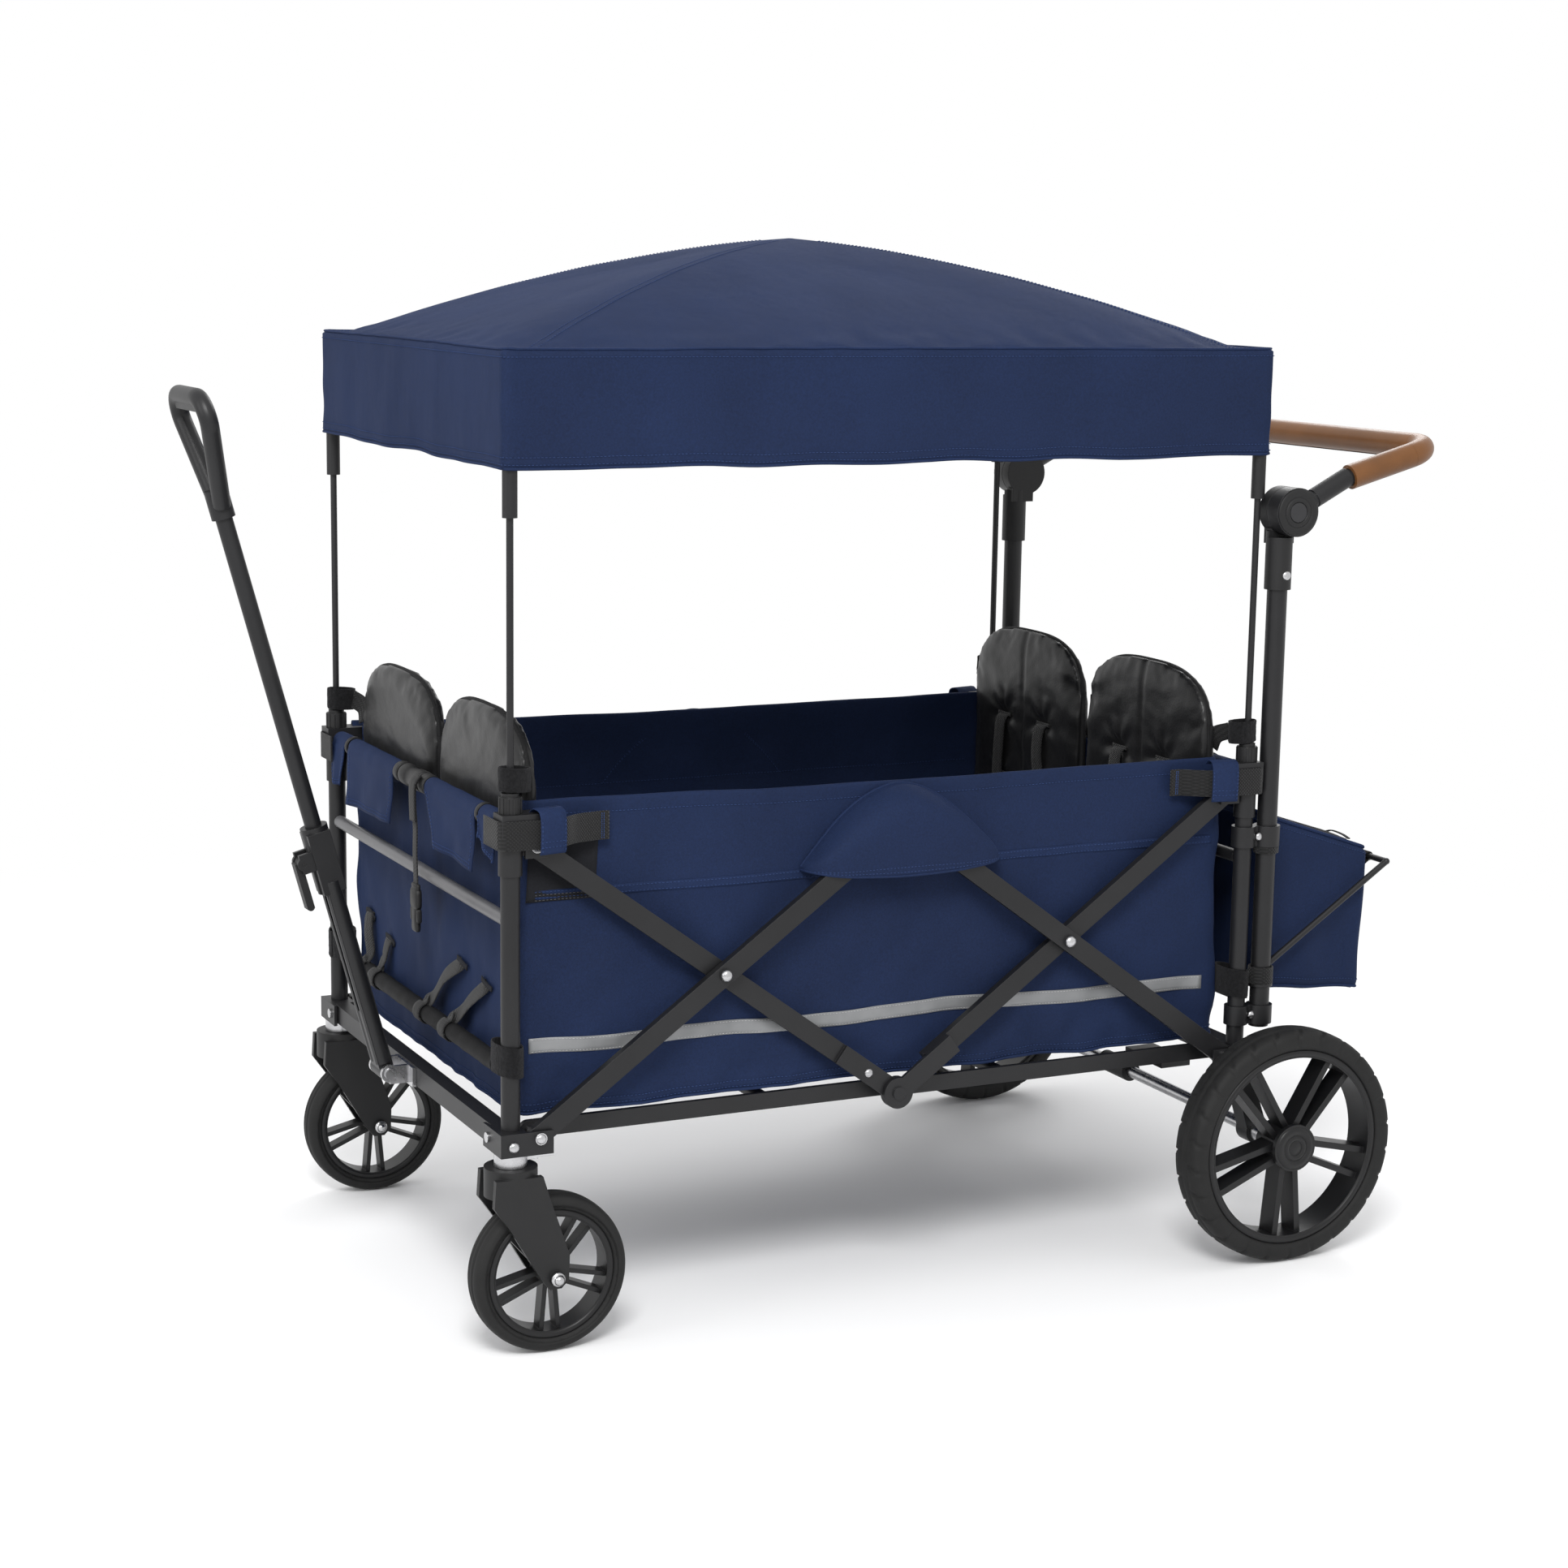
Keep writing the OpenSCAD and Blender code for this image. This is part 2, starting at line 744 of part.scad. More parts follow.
module spokes(x, y0, y1, z, ra, rb, w, spread, off) {
  for (k = [0:4]) for (s = [-1, 1]) translate([x, 0, z]) rotate([0, k*72 + 18 + s*spread, 0])
    box([ra, y0, -s*off - w/2], [rb, y1, -s*off + w/2]);
}

module front_rim_at() {
  difference() {
    union() {
      yring(fwx, -py - 16, -py + 16, front_r, front_r - 25, front_r - 17.4);
      ycyl(fwx, -py - 21, -py + 21, front_r, 14);
      spokes(fwx, -py - 9, -py + 9, front_r, 9, front_r - 20, 5.4, 5, 4.5);
    }
    ycyl(fwx, -py - 40, -py + 40, front_r, 4 + run_c);
  }
}

module tyre_at(x, yc, z, ro, ri, w) {
  h = w/2;
  translate([x, yc, z]) rotate([90, 0, 0]) rotate_extrude($fn = 96)
    polygon([[ri, -h*0.86], [ri + 6, -h], [ro - 9, -h], [ro - 3, -h*0.82], [ro - 0.6, -h*0.5], [ro, -h*0.2],
      [ro, h*0.2], [ro - 0.6, h*0.5], [ro - 3, h*0.82], [ro - 9, h], [ri + 6, h], [ri, h*0.86]]);
}

module front_rim_left() {
  color(blk) front_rim_at();
}

module front_rim_right() {
  color(blk) mirror([0, 1, 0]) front_rim_at();
}

module front_tyre_left() {
  color([0.04, 0.04, 0.04]) tyre_at(fwx, -py, front_r, front_r, front_r - 17.4, front_w);
}

module front_tyre_right() {
  color([0.04, 0.04, 0.04]) tyre_at(fwx, py, front_r, front_r, front_r - 17.4, front_w);
}

module rear_rim_at() {
  yc = -wy0 - rear_w/2;
  difference() {
    union() {
      yring(ax_x, yc - 21, yc + 21, ax_z, rear_r - 34, rear_r - 24.6);
      ycyl(ax_x, yc - 23, yc + 25, ax_z, 24);
      ycyl(ax_x, yc - 26, yc - 20, ax_z, 30);
      spokes(ax_x, yc - 14, yc + 14, ax_z, 18, rear_r - 30, 8, 5, 7);
    }
    ycyl(ax_x, yc - 22, yc + 40, ax_z, 8 + run_c);
    ycyl(ax_x, yc - 27.1, yc + 40, ax_z, 8 + run_c);
    yring(ax_x, yc - 30, yc - 25, ax_z, 20, 23);
  }
}

module rear_rim_left() {
  color(blk) rear_rim_at();
}

module rear_rim_right() {
  color(blk) mirror([0, 1, 0]) rear_rim_at();
}

module rear_tyre_left() {
  color([0.04, 0.04, 0.04]) tyre_at(ax_x, -wy0 - rear_w/2, ax_z, rear_r, rear_r - 24.6, rear_w);
}

module rear_tyre_right() {
  color([0.04, 0.04, 0.04]) tyre_at(ax_x, wy0 + rear_w/2, ax_z, rear_r, rear_r - 24.6, rear_w);
}

// small controls ---------------------------------------------------------------------------
module push_button() {
  ycyl(hx, -pyy - 25.5, -pyy - 19.5, hub_z, 12);
}

module push_button_left() {
  color([0.15, 0.15, 0.16]) push_button();
}

module push_button_right() {
  color([0.15, 0.15, 0.16]) mirror([0, 1, 0]) push_button();
}

module brake_pedal() {
  color([0.1, 0.1, 0.1]) difference() {
    union() {
      ycyl(ax_x, -32, 32, ax_z, 14);
      box([ax_x, -14, ax_z + 3], [ax_x + 52, 14, ax_z + 11]);
      box([ax_x + 40, -46, ax_z + 3], [ax_x + 86, 46, ax_z + 11]);
    }
    ycyl(ax_x, -40, 40, ax_z, 8 + run_c);
  }
}

module lock_tab() {
  difference() {
    union() {
      ycyl(-px + 26, -py - 5.6, -py + 5.6, brkt_z - 5, 4);
      box([-px + 26, -py - 5.6, brkt_z - 7.5], [-px + 50, -py + 5.6, brkt_z - 4.5]);
    }
    ycyl(-px + 26, -py - 8, -py + 8, brkt_z - 5, 2 + run_c);
  }
}

module lock_tab_left() {
  color(steel) lock_tab();
}

module lock_tab_right() {
  color(steel) mirror([0, 1, 0]) lock_tab();
}

rear_posts();
rear_rails();
rear_brackets();
rear_legs();
rear_axle();
push_posts();
push_clamps();
push_hinge_bases();
rear_bag();
bag_hoop();
rear_seatbacks();
rear_pins();
front_posts();
front_bottom_rail();
front_brackets();
front_cross_rails();
caster_stems();
pull_clevis();
front_seatbacks();
front_pins();
rear_castings();
rear_top_rail();
rear_collars();
rear_bolts();
tub();
floor_pad();
front_castings();
front_top_rail();
front_collars();
front_bolts();
bars_a();
bars_b();
bars_c();
bars_d();
lower_rails_rear();
lower_rails_front();
rear_poles();
front_poles();
canopy();
canopy_ribs();
caster_left();
caster_right();
front_rim_left();
front_rim_right();
front_tyre_left();
front_tyre_right();
rear_rim_left();
rear_rim_right();
rear_tyre_left();
rear_tyre_right();
push_tube();
push_grip();
pull_lower();
pull_lever();
pull_upper();
push_button_left();
push_button_right();
brake_pedal();
lock_tab_left();
lock_tab_right();
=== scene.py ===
"""Looks of the folding pull wagon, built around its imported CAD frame.

Lengths are in millimetres until a mesh is made."""
import json
import math

import bmesh
import bpy
from mathutils import Matrix, Vector, noise

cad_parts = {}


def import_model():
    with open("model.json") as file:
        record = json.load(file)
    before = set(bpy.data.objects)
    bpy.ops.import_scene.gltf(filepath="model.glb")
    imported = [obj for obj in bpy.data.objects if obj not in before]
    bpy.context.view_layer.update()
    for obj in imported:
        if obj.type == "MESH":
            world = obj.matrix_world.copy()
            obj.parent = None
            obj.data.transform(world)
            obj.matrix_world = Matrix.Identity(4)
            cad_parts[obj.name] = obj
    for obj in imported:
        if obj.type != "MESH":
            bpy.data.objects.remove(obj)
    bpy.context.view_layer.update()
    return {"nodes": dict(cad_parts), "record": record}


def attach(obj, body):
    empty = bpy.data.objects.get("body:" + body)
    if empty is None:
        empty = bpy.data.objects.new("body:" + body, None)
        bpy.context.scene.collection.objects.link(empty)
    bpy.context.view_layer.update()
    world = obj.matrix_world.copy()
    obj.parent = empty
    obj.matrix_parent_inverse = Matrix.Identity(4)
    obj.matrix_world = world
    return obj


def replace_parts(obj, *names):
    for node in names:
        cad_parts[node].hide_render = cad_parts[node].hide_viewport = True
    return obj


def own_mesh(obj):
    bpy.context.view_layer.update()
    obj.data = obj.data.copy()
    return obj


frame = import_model()
MM = 0.001
scene = bpy.context.scene
nodes = frame["nodes"]

# sizes shared with the CAD ----------------------------------------------------
PX, PY = 486.0, 322.0          # corner post centres
TX, TY = 472.0, 308.0          # tub outer half sizes
TUB_Z0, RIM_Z = 270.0, 630.0
SEAM_Z = 527.0                 # band seam on the long sides
WALL_X, WALL_Y, WALL_R = TX - 1, TY - 1, 20  # flat place and corner radius of the tub's wall
END_RIM_Z = 603                # rim of the two short walls
LOW_TUBE_Z = 330               # low cross tubes
REAR_X, REAR_Y, REAR_R = 519, 390, 148.7
FRONT_X, FRONT_Y, FRONT_R = -442, 322, 92.6
CW, CD = 497.0, 333.0          # canopy half sizes
SK0, SK1, PEAK = 1005.0, 1133.0, 1257.0
PUSH_X, PUSH_Y = 518.0, 326.0  # push handle posts
HUB_X, HUB_Z = 527.0, 936.0


# node helpers -----------------------------------------------------------------
class Nodes:
    """A material with short calls to add and join nodes."""

    def __init__(self, name, **values):
        self.mat = bpy.data.materials.new(name)
        self.mat.use_nodes = True
        self.tree = self.mat.node_tree
        self.bsdf = self.tree.nodes["Principled BSDF"]
        self.coord = self.tree.nodes.new("ShaderNodeTexCoord").outputs["Object"]
        for key, value in values.items():
            self.set(key, value)

    def set(self, key, value):
        socket = self.bsdf.inputs[key]
        socket.default_value = (*value, 1) if hasattr(value, "__len__") and len(value) == 3 else value

    def join(self, a, b):
        self.tree.links.new(a, b)

    def noise(self, scale, detail=2.0, rough=0.5, stretch=None):
        n = self.tree.nodes.new("ShaderNodeTexNoise")
        n.inputs["Scale"].default_value = scale
        n.inputs["Detail"].default_value = detail
        n.inputs["Roughness"].default_value = rough
        self.join(self.mapped(stretch), n.inputs["Vector"])
        return n.outputs["Fac"]

    def mapped(self, stretch):
        if stretch is None:
            return self.coord
        m = self.tree.nodes.new("ShaderNodeMapping")
        m.inputs["Scale"].default_value = stretch
        self.join(self.coord, m.inputs["Vector"])
        return m.outputs["Vector"]

    def cells(self, scale, feature="F1"):
        n = self.tree.nodes.new("ShaderNodeTexVoronoi")
        n.feature = feature
        n.inputs["Scale"].default_value = scale
        self.join(self.coord, n.inputs["Vector"])
        return n.outputs["Distance"]

    def bands(self, period, stretch=(1, 1, 1), direction="DIAGONAL"):
        """Sine bands that repeat every period metres along x + y + z, or along one axis."""
        n = self.tree.nodes.new("ShaderNodeTexWave")
        n.bands_direction = direction
        n.inputs["Scale"].default_value = 2 * math.pi / ((10 if direction == "DIAGONAL" else 20) * period)
        n.inputs["Distortion"].default_value = 0.35
        n.inputs["Detail"].default_value = 1.0
        n.inputs["Detail Scale"].default_value = 2.0
        self.join(self.mapped(stretch), n.inputs["Vector"])
        return n.outputs["Fac"]

    def math(self, op, a, b, c=None):
        n = self.tree.nodes.new("ShaderNodeMath")
        n.operation = op
        for i, v in enumerate((a, b, c)):
            if v is None:
                continue
            if hasattr(v, "is_output"):
                self.join(v, n.inputs[i])
            else:
                n.inputs[i].default_value = v
        return n.outputs[0]

    def ramp(self, value, stops):
        n = self.tree.nodes.new("ShaderNodeValToRGB")
        while len(n.color_ramp.elements) < len(stops):
            n.color_ramp.elements.new(0.5)
        for e, (at, colour) in zip(n.color_ramp.elements, stops):
            e.position = at
            e.color = (*colour, 1)
        self.join(value, n.inputs["Fac"])
        return n.outputs["Color"]

    def spread(self, value, lo, hi):
        n = self.tree.nodes.new("ShaderNodeMapRange")
        n.inputs["To Min"].default_value = lo
        n.inputs["To Max"].default_value = hi
        self.join(value, n.inputs["Value"])
        return n.outputs["Result"]

    def colour(self, value):
        self.join(value, self.bsdf.inputs["Base Color"])

    def roughness(self, value):
        self.join(value, self.bsdf.inputs["Roughness"])

    def bump(self, *layers, round_edges=0):
        """Layers of (height, strength, distance in metres), each on top of the last."""
        normal = None
        if round_edges:
            b = self.tree.nodes.new("ShaderNodeBevel")
            b.samples = 4
            b.inputs["Radius"].default_value = round_edges
            normal = b.outputs["Normal"]
        for height, strength, distance in layers:
            n = self.tree.nodes.new("ShaderNodeBump")
            n.inputs["Strength"].default_value = strength
            n.inputs["Distance"].default_value = distance
            self.join(height, n.inputs["Height"])
            if normal is not None:
                self.join(normal, n.inputs["Normal"])
            normal = n.outputs["Normal"]
        self.join(normal, self.bsdf.inputs["Normal"])


def tint(c, k):
    return tuple(min(1, x * k) for x in c)


def woven(name, base, period=0.0011, wrinkle=0.0012, sheen=0.14, rough=0.8, fuzz=1.0):
    """Tightly woven cloth: a twill, mottled yarn, soft creases."""
    m = Nodes(name, **{"Specular IOR Level": 0.16, "Sheen Weight": sheen, "Sheen Roughness": 0.45})
    m.set("Sheen Tint", tint(base, 6))
    mottle = m.noise(420, 3, 0.6)
    broad = m.noise(5.5, 3, 0.55)
    mixed = m.math("ADD", m.math("MULTIPLY", mottle, 0.6), m.math("MULTIPLY", broad, 0.4))
    m.colour(m.ramp(mixed, [(0.32, tint(base, 0.74)), (0.5, base), (0.7, tint(base, 1.3))]))
    m.roughness(m.spread(mottle, rough - 0.07, rough + 0.08))
    twill = m.math("MULTIPLY", m.bands(period), m.bands(period * 1.7, (1, 1, -1)))
    creases = m.noise(14, 3, 0.5, (1, 1, 0.55))
    fine = m.noise(60, 3, 0.55, (1, 1, 0.6))
    m.bump((creases, 0.5, wrinkle * 4), (fine, 0.3, wrinkle), (twill, 0.45 * fuzz, 0.0003),
        (mottle, 0.15 * fuzz, 0.0003))
    return m.mat


def coated_metal(name, base, rough=0.42, grain=0.06, worn=0.5):
    """Powder coat: orange peel, faint rub along the edges."""
    m = Nodes(name, **{"Specular IOR Level": 0.34})
    peel, patches = m.noise(1700, 2), m.noise(9, 4, 0.6)
    edge = m.tree.nodes.new("ShaderNodeBevel")
    edge.samples = 4
    edge.inputs["Radius"].default_value = 0.0009
    flat = m.tree.nodes.new("ShaderNodeNewGeometry").outputs["Normal"]
    dot = m.tree.nodes.new("ShaderNodeVectorMath")
    dot.operation = "DOT_PRODUCT"
    m.join(edge.outputs["Normal"], dot.inputs[0])
    m.join(flat, dot.inputs[1])
    rub = m.math("MULTIPLY", m.math("MULTIPLY", m.math("SUBTRACT", 1.0, dot.outputs["Value"]), 5.0),
        m.math("MULTIPLY", patches, worn))
    mix = m.tree.nodes.new("ShaderNodeMix")
    mix.data_type = "RGBA"
    mix.clamp_factor = True
    m.join(rub, mix.inputs["Factor"])
    m.join(m.ramp(patches, [(0.35, tint(base, 0.85)), (0.7, tint(base, 1.2))]), mix.inputs["A"])
    mix.inputs["B"].default_value = (*tint(base, 4.5), 1)
    m.colour(mix.outputs["Result"])
    m.roughness(m.spread(patches, rough - 0.06, rough + 0.08))
    m.bump((peel, grain * 1.5, 0.0001), round_edges=0.0009)
    return m.mat


def moulded(name, base, rough=0.5, grain=0.35):
    """Moulded plastic with a fine spark-eroded grain and soft edges."""
    m = Nodes(name, **{"Specular IOR Level": 0.34})
    cells, patches = m.cells(1500), m.noise(12, 4, 0.6)
    m.colour(m.ramp(patches, [(0.3, tint(base, 0.8)), (0.7, tint(base, 1.25))]))
    m.roughness(m.spread(patches, rough - 0.08, rough + 0.08))
    m.bump((cells, grain, 0.00015), (m.noise(700, 2), grain * 0.4, 0.0002), round_edges=0.0011)
    return m.mat


def rubber(name, base):
    m = Nodes(name, **{"Specular IOR Level": 0.3})
    dust, grit = m.noise(30, 4, 0.65), m.noise(900, 3, 0.6)
    m.colour(m.ramp(dust, [(0.35, base), (0.75, tint(base, 1.9))]))
    m.roughness(m.spread(dust, 0.58, 0.82))
    m.bump((grit, 0.3, 0.0003), (m.cells(420), 0.12, 0.0003))
    return m.mat


def coated_cloth(name, base, rough=0.36, cell=520):
    """Soft leather-like cloth: pebbled grain over shallow creases."""
    m = Nodes(name, **{"Specular IOR Level": 0.36, "Sheen Weight": 0.03})
    pebbles, patches = m.cells(cell, "SMOOTH_F1"), m.noise(8, 4, 0.6)
    creases = m.noise(17, 3, 0.6)
    m.colour(m.ramp(patches, [(0.3, tint(base, 0.78)), (0.72, tint(base, 1.3))]))
    m.roughness(m.spread(patches, rough - 0.06, rough + 0.1))
    m.bump((creases, 0.3, 0.0014), (pebbles, 0.3, 0.0004), (m.noise(1300, 2), 0.1, 0.0002))
    return m.mat


def webbing(name, base):
    m = Nodes(name, **{"Specular IOR Level": 0.3, "Sheen Weight": 0.1})
    ribs = m.math("MULTIPLY", m.bands(0.0042), m.bands(0.0042, (1, 1, -1)))
    fluff = m.noise(800, 3, 0.7)
    m.colour(m.ramp(ribs, [(0.0, tint(base, 0.4)), (0.5, tint(base, 1.1))]))
    m.roughness(m.spread(fluff, 0.7, 0.95))
    m.bump((ribs, 0.9, 0.0009), (fluff, 0.4, 0.0004))
    return m.mat


def hook_loop(name, base):
    m = Nodes(name, **{"Specular IOR Level": 0.1, "Sheen Weight": 0.12, "Sheen Roughness": 0.6})
    m.set("Sheen Tint", (0.5, 0.5, 0.52))
    fluff, clumps = m.noise(1400, 4, 0.8), m.noise(260, 3, 0.7)
    m.colour(m.ramp(clumps, [(0.3, tint(base, 0.5)), (0.72, tint(base, 2.0))]))
    m.roughness(m.spread(fluff, 0.85, 1.0))
    m.bump((clumps, 0.9, 0.0012), (fluff, 0.9, 0.0007))
    return m.mat


def reflective(name):
    m = Nodes(name, **{"Metallic": 0.35, "Specular IOR Level": 0.6})
    beads, patches = m.cells(1600), m.noise(20, 3)
    m.colour(m.ramp(patches, [(0.3, (0.16, 0.165, 0.17)), (0.7, (0.235, 0.24, 0.245))]))
    m.roughness(m.spread(patches, 0.36, 0.5))
    m.bump((beads, 0.35, 0.0002), (m.noise(55, 2), 0.25, 0.001))
    return m.mat


def steel(name, base=(0.5, 0.5, 0.51), rough=0.24):
    m = Nodes(name, **{"Metallic": 1.0})
    smudge, brushed = m.noise(40, 3, 0.6), m.noise(900, 2, 0.5, (1, 12, 1))
    m.colour(m.ramp(smudge, [(0.3, tint(base, 0.85)), (0.7, tint(base, 1.12))]))
    m.roughness(m.spread(smudge, rough - 0.06, rough + 0.12))
    m.bump((brushed, 0.12, 0.0001), round_edges=0.0006)
    return m.mat


def paper_floor(name):
    """White paper: takes soft shadows near the wagon and fades into the white room further out."""
    m = Nodes(name, **{"Base Color": (0.88, 0.88, 0.885), "Roughness": 0.8, "Specular IOR Level": 0.1})
    far = m.tree.nodes.new("ShaderNodeVectorMath")
    far.operation = "LENGTH"
    m.join(m.coord, far.inputs[0])
    fade = m.tree.nodes.new("ShaderNodeMapRange")
    fade.interpolation_type = "SMOOTHSTEP"
    fade.inputs["From Min"].default_value = 0.9
    fade.inputs["From Max"].default_value = 2.6
    m.join(far.outputs["Value"], fade.inputs["Value"])
    glow = m.tree.nodes.new("ShaderNodeEmission")
    mix = m.tree.nodes.new("ShaderNodeMixShader")
    out = m.tree.nodes["Material Output"]
    m.join(fade.outputs["Result"], mix.inputs[0])
    m.join(m.bsdf.outputs[0], mix.inputs[1])
    m.join(glow.outputs[0], mix.inputs[2])
    m.join(mix.outputs[0], out.inputs["Surface"])
    return m.mat


NAVY = (0.0078, 0.0158, 0.0475)
M = {
    "navy": woven("navy_polyester", NAVY),
    "navy_trim": woven("navy_trim_cloth", tint(NAVY, 1.15), 0.0013, 0.0008),
    "charcoal": woven("charcoal_cloth", (0.0095, 0.01, 0.0125), 0.0013, 0.0008),
    "thread": woven("navy_thread", (0.024, 0.044, 0.12), 0.0009, 0.0003),
    "thread_grey": woven("grey_thread", (0.07, 0.07, 0.075), 0.0009, 0.0003),
    "thread_pale": woven("pale_thread", (0.36, 0.36, 0.36), 0.0009, 0.0003),
    "frame": coated_metal("black_powder_coat", (0.0095, 0.0095, 0.0105)),
    "rail": coated_metal("grey_satin_coat", (0.095, 0.095, 0.1), 0.34, 0.03, 0.3),
    "plastic": moulded("black_moulded_plastic", (0.008, 0.008, 0.0085)),
    "button": moulded("grey_moulded_plastic", (0.022, 0.022, 0.024), 0.42, 0.2),
    "rim": moulded("black_rim_plastic", (0.0055, 0.0055, 0.006), 0.4, 0.22),
    "tyre": rubber("black_tyre_rubber", (0.0065, 0.0065, 0.0065)),
    "steel": steel("zinc_steel"),
    "pad": coated_cloth("black_coated_cloth", (0.0042, 0.0042, 0.0046)),
    "pad_back": woven("black_backing_cloth", (0.0065, 0.0065, 0.007), 0.0012, 0.001, 0.1, 0.66),
    "tan": coated_cloth("tan_leather_look", (0.135, 0.052, 0.0125), 0.38, 640),
    "web": webbing("black_webbing", (0.009, 0.009, 0.0095)),
    "fuzzy": hook_loop("black_hook_loop", (0.005, 0.005, 0.0055)),
    "silver": reflective("silver_reflective_tape"),
    "floor": paper_floor("studio_floor"),
}
CAD_LOOK = {
    "frame_black": "frame", "rail_grey": "rail", "plastic_black": "plastic", "button_grey": "button",
    "rim_black": "rim", "tyre_black": "tyre", "bright_steel": "steel", "navy_fabric": "navy",
    "pad_black": "pad", "grip_tan": "tan",
}
for part in frame["record"]["subparts"]:
    ob = nodes[part["node"]]
    ob.data.materials.clear()
    ob.data.materials.append(M[CAD_LOOK[part["material_slot"]]])


# mesh helpers -----------------------------------------------------------------
def mesh(name, verts, faces, mat, smooth=True):
    me = bpy.data.meshes.new(name)
    me.from_pydata([(x * MM, y * MM, z * MM) for x, y, z in verts], [], faces)
    me.validate()
    me.polygons.foreach_set("use_smooth", [smooth] * len(me.polygons))
    ob = bpy.data.objects.new(name, me)
    scene.collection.objects.link(ob)
    me.materials.append(M[mat])
    return ob


def settle(ob):
    """Applies every modifier of ob to its mesh."""
    me = bpy.data.meshes.new_from_object(ob.evaluated_get(bpy.context.evaluated_depsgraph_get()))
    ob.modifiers.clear()
    ob.data = me
    return ob


def modified(ob, kind, **values):
    m = ob.modifiers.new(kind.lower(), kind)
    for key, value in values.items():
        setattr(m, key, value)
    bpy.context.view_layer.update()
    return settle(ob)


def thick(ob, t):
    return modified(ob, "SOLIDIFY", thickness=t * MM, offset=-1, use_even_offset=True)


def outward(ob):
    """Turns the faces of a closed mesh outwards."""
    bm = bmesh.new()
    bm.from_mesh(ob.data)
    bmesh.ops.recalc_face_normals(bm, faces=bm.faces)
    bm.to_mesh(ob.data)
    bm.free()
    return ob


def grid(name, nu, nv, point, mat, wrap_u=False):
    verts = [point(i / (nu if wrap_u else nu - 1), j / (nv - 1)) for i in range(nu) for j in range(nv)]
    faces = [
        (i * nv + j, (i + 1) % nu * nv + j, (i + 1) % nu * nv + j + 1, i * nv + j + 1)
        for i in range(nu if wrap_u else nu - 1) for j in range(nv - 1)
    ]
    return mesh(name, verts, faces, mat)


def frames(pts, up):
    """Each point of a path with its tangent, side and normal, from an up hint or a function of the index."""
    pts = [Vector(p) for p in pts]
    out = []
    for i, p in enumerate(pts):
        t = (pts[min(i + 1, len(pts) - 1)] - pts[max(i - 1, 0)]).normalized()
        u = Vector(up(i) if callable(up) else up)
        s = t.cross(u)
        s = s.normalized() if s.length > 1e-6 else t.orthogonal().normalized()
        out.append((p, t, s, s.cross(t)))
    return out


def sweep(name, pts, section, up, mat, closed=False, caps=True):
    """Sweeps a closed section of (side, normal) points along a path."""
    rings = [[p + s * a + n * b for a, b in section] for p, _, s, n in frames(pts, up)]
    k, verts = len(section), [v for r in rings for v in r]
    count = len(rings) if closed else len(rings) - 1
    faces = [
        (i * k + j, i * k + (j + 1) % k, (i + 1) % len(rings) * k + (j + 1) % k, (i + 1) % len(rings) * k + j)
        for i in range(count) for j in range(k)
    ]
    if caps and not closed:
        faces += [tuple(range(k - 1, -1, -1)), tuple((len(rings) - 1) * k + j for j in range(k))]
    return mesh(name, verts, faces, mat)


def round_section(r, n=10):
    return [(r * math.cos(2 * math.pi * i / n), r * math.sin(2 * math.pi * i / n)) for i in range(n)]


def strap_section(w, t):
    a, b, e = w / 2, t / 2, min(t * 0.45, 0.6)
    return [(-a, -b + e), (-a + e, -b), (-a * 0.33, -b), (a * 0.33, -b), (a - e, -b), (a, -b + e),
            (a, b - e), (a - e, b), (a * 0.33, b), (-a * 0.33, b), (-a + e, b), (-a, b - e)]


def smooth_path(pts, steps=8):
    """A Catmull-Rom curve through the points."""
    pts = [Vector(p) for p in pts]
    ext = [pts[0] * 2 - pts[1], *pts, pts[-1] * 2 - pts[-2]]
    out = []
    for i in range(1, len(ext) - 2):
        a, b, c, d = ext[i - 1:i + 3]
        for k in range(steps):
            t = k / steps
            out.append(0.5 * ((2 * b) + (c - a) * t + (2 * a - 5 * b + 4 * c - d) * t * t
                + (3 * b - a - 3 * c + d) * t ** 3))
    return [*out, pts[-1]]


def strap(name, pts, up, w, t, mat, smooth=8):
    """A flat band; up is its face direction."""
    path = smooth_path(pts, smooth) if smooth else pts
    return sweep(name, path, strap_section(w, t), up, mat)


def tube(name, pts, r, mat, smooth=8, closed=False, n=10):
    path = smooth_path(pts, smooth) if smooth else pts
    return sweep(name, path, round_section(r, n), (0.13, 0.21, 0.97), mat, closed)


def resample(pts, pitch):
    pts = [Vector(p) for p in pts]
    out, need = [], 0.0
    for a, b in zip(pts, pts[1:]):
        d = (b - a).length
        while need <= d and d > 0:
            out.append((a + (b - a) * (need / d), (b - a) / d))
            need += pitch
        need -= d
    return out


def stitches(name, paths, mat="thread", pitch=4.6, length=3.0, r=0.5):
    """Short raised threads along each path."""
    verts, faces = [], []
    for pts in paths:
        for p, t in resample(pts, pitch):
            s = t.orthogonal().normalized()
            n = t.cross(s)
            base = len(verts)
            verts.append(p - t * length / 2)
            for k in (-0.28, 0.28):
                verts += [p + t * length * k + (s * math.cos(a) + n * math.sin(a)) * r
                    for a in (0, 1.57, 3.14, 4.71)]
            verts.append(p + t * length / 2)
            for j in range(4):
                m = (j + 1) % 4
                faces += [(base, base + 1 + m, base + 1 + j), (base + 1 + j, base + 1 + m, base + 5 + m,
                    base + 5 + j), (base + 5 + j, base + 5 + m, base + 9)]
    return mesh(name, verts, faces, mat)


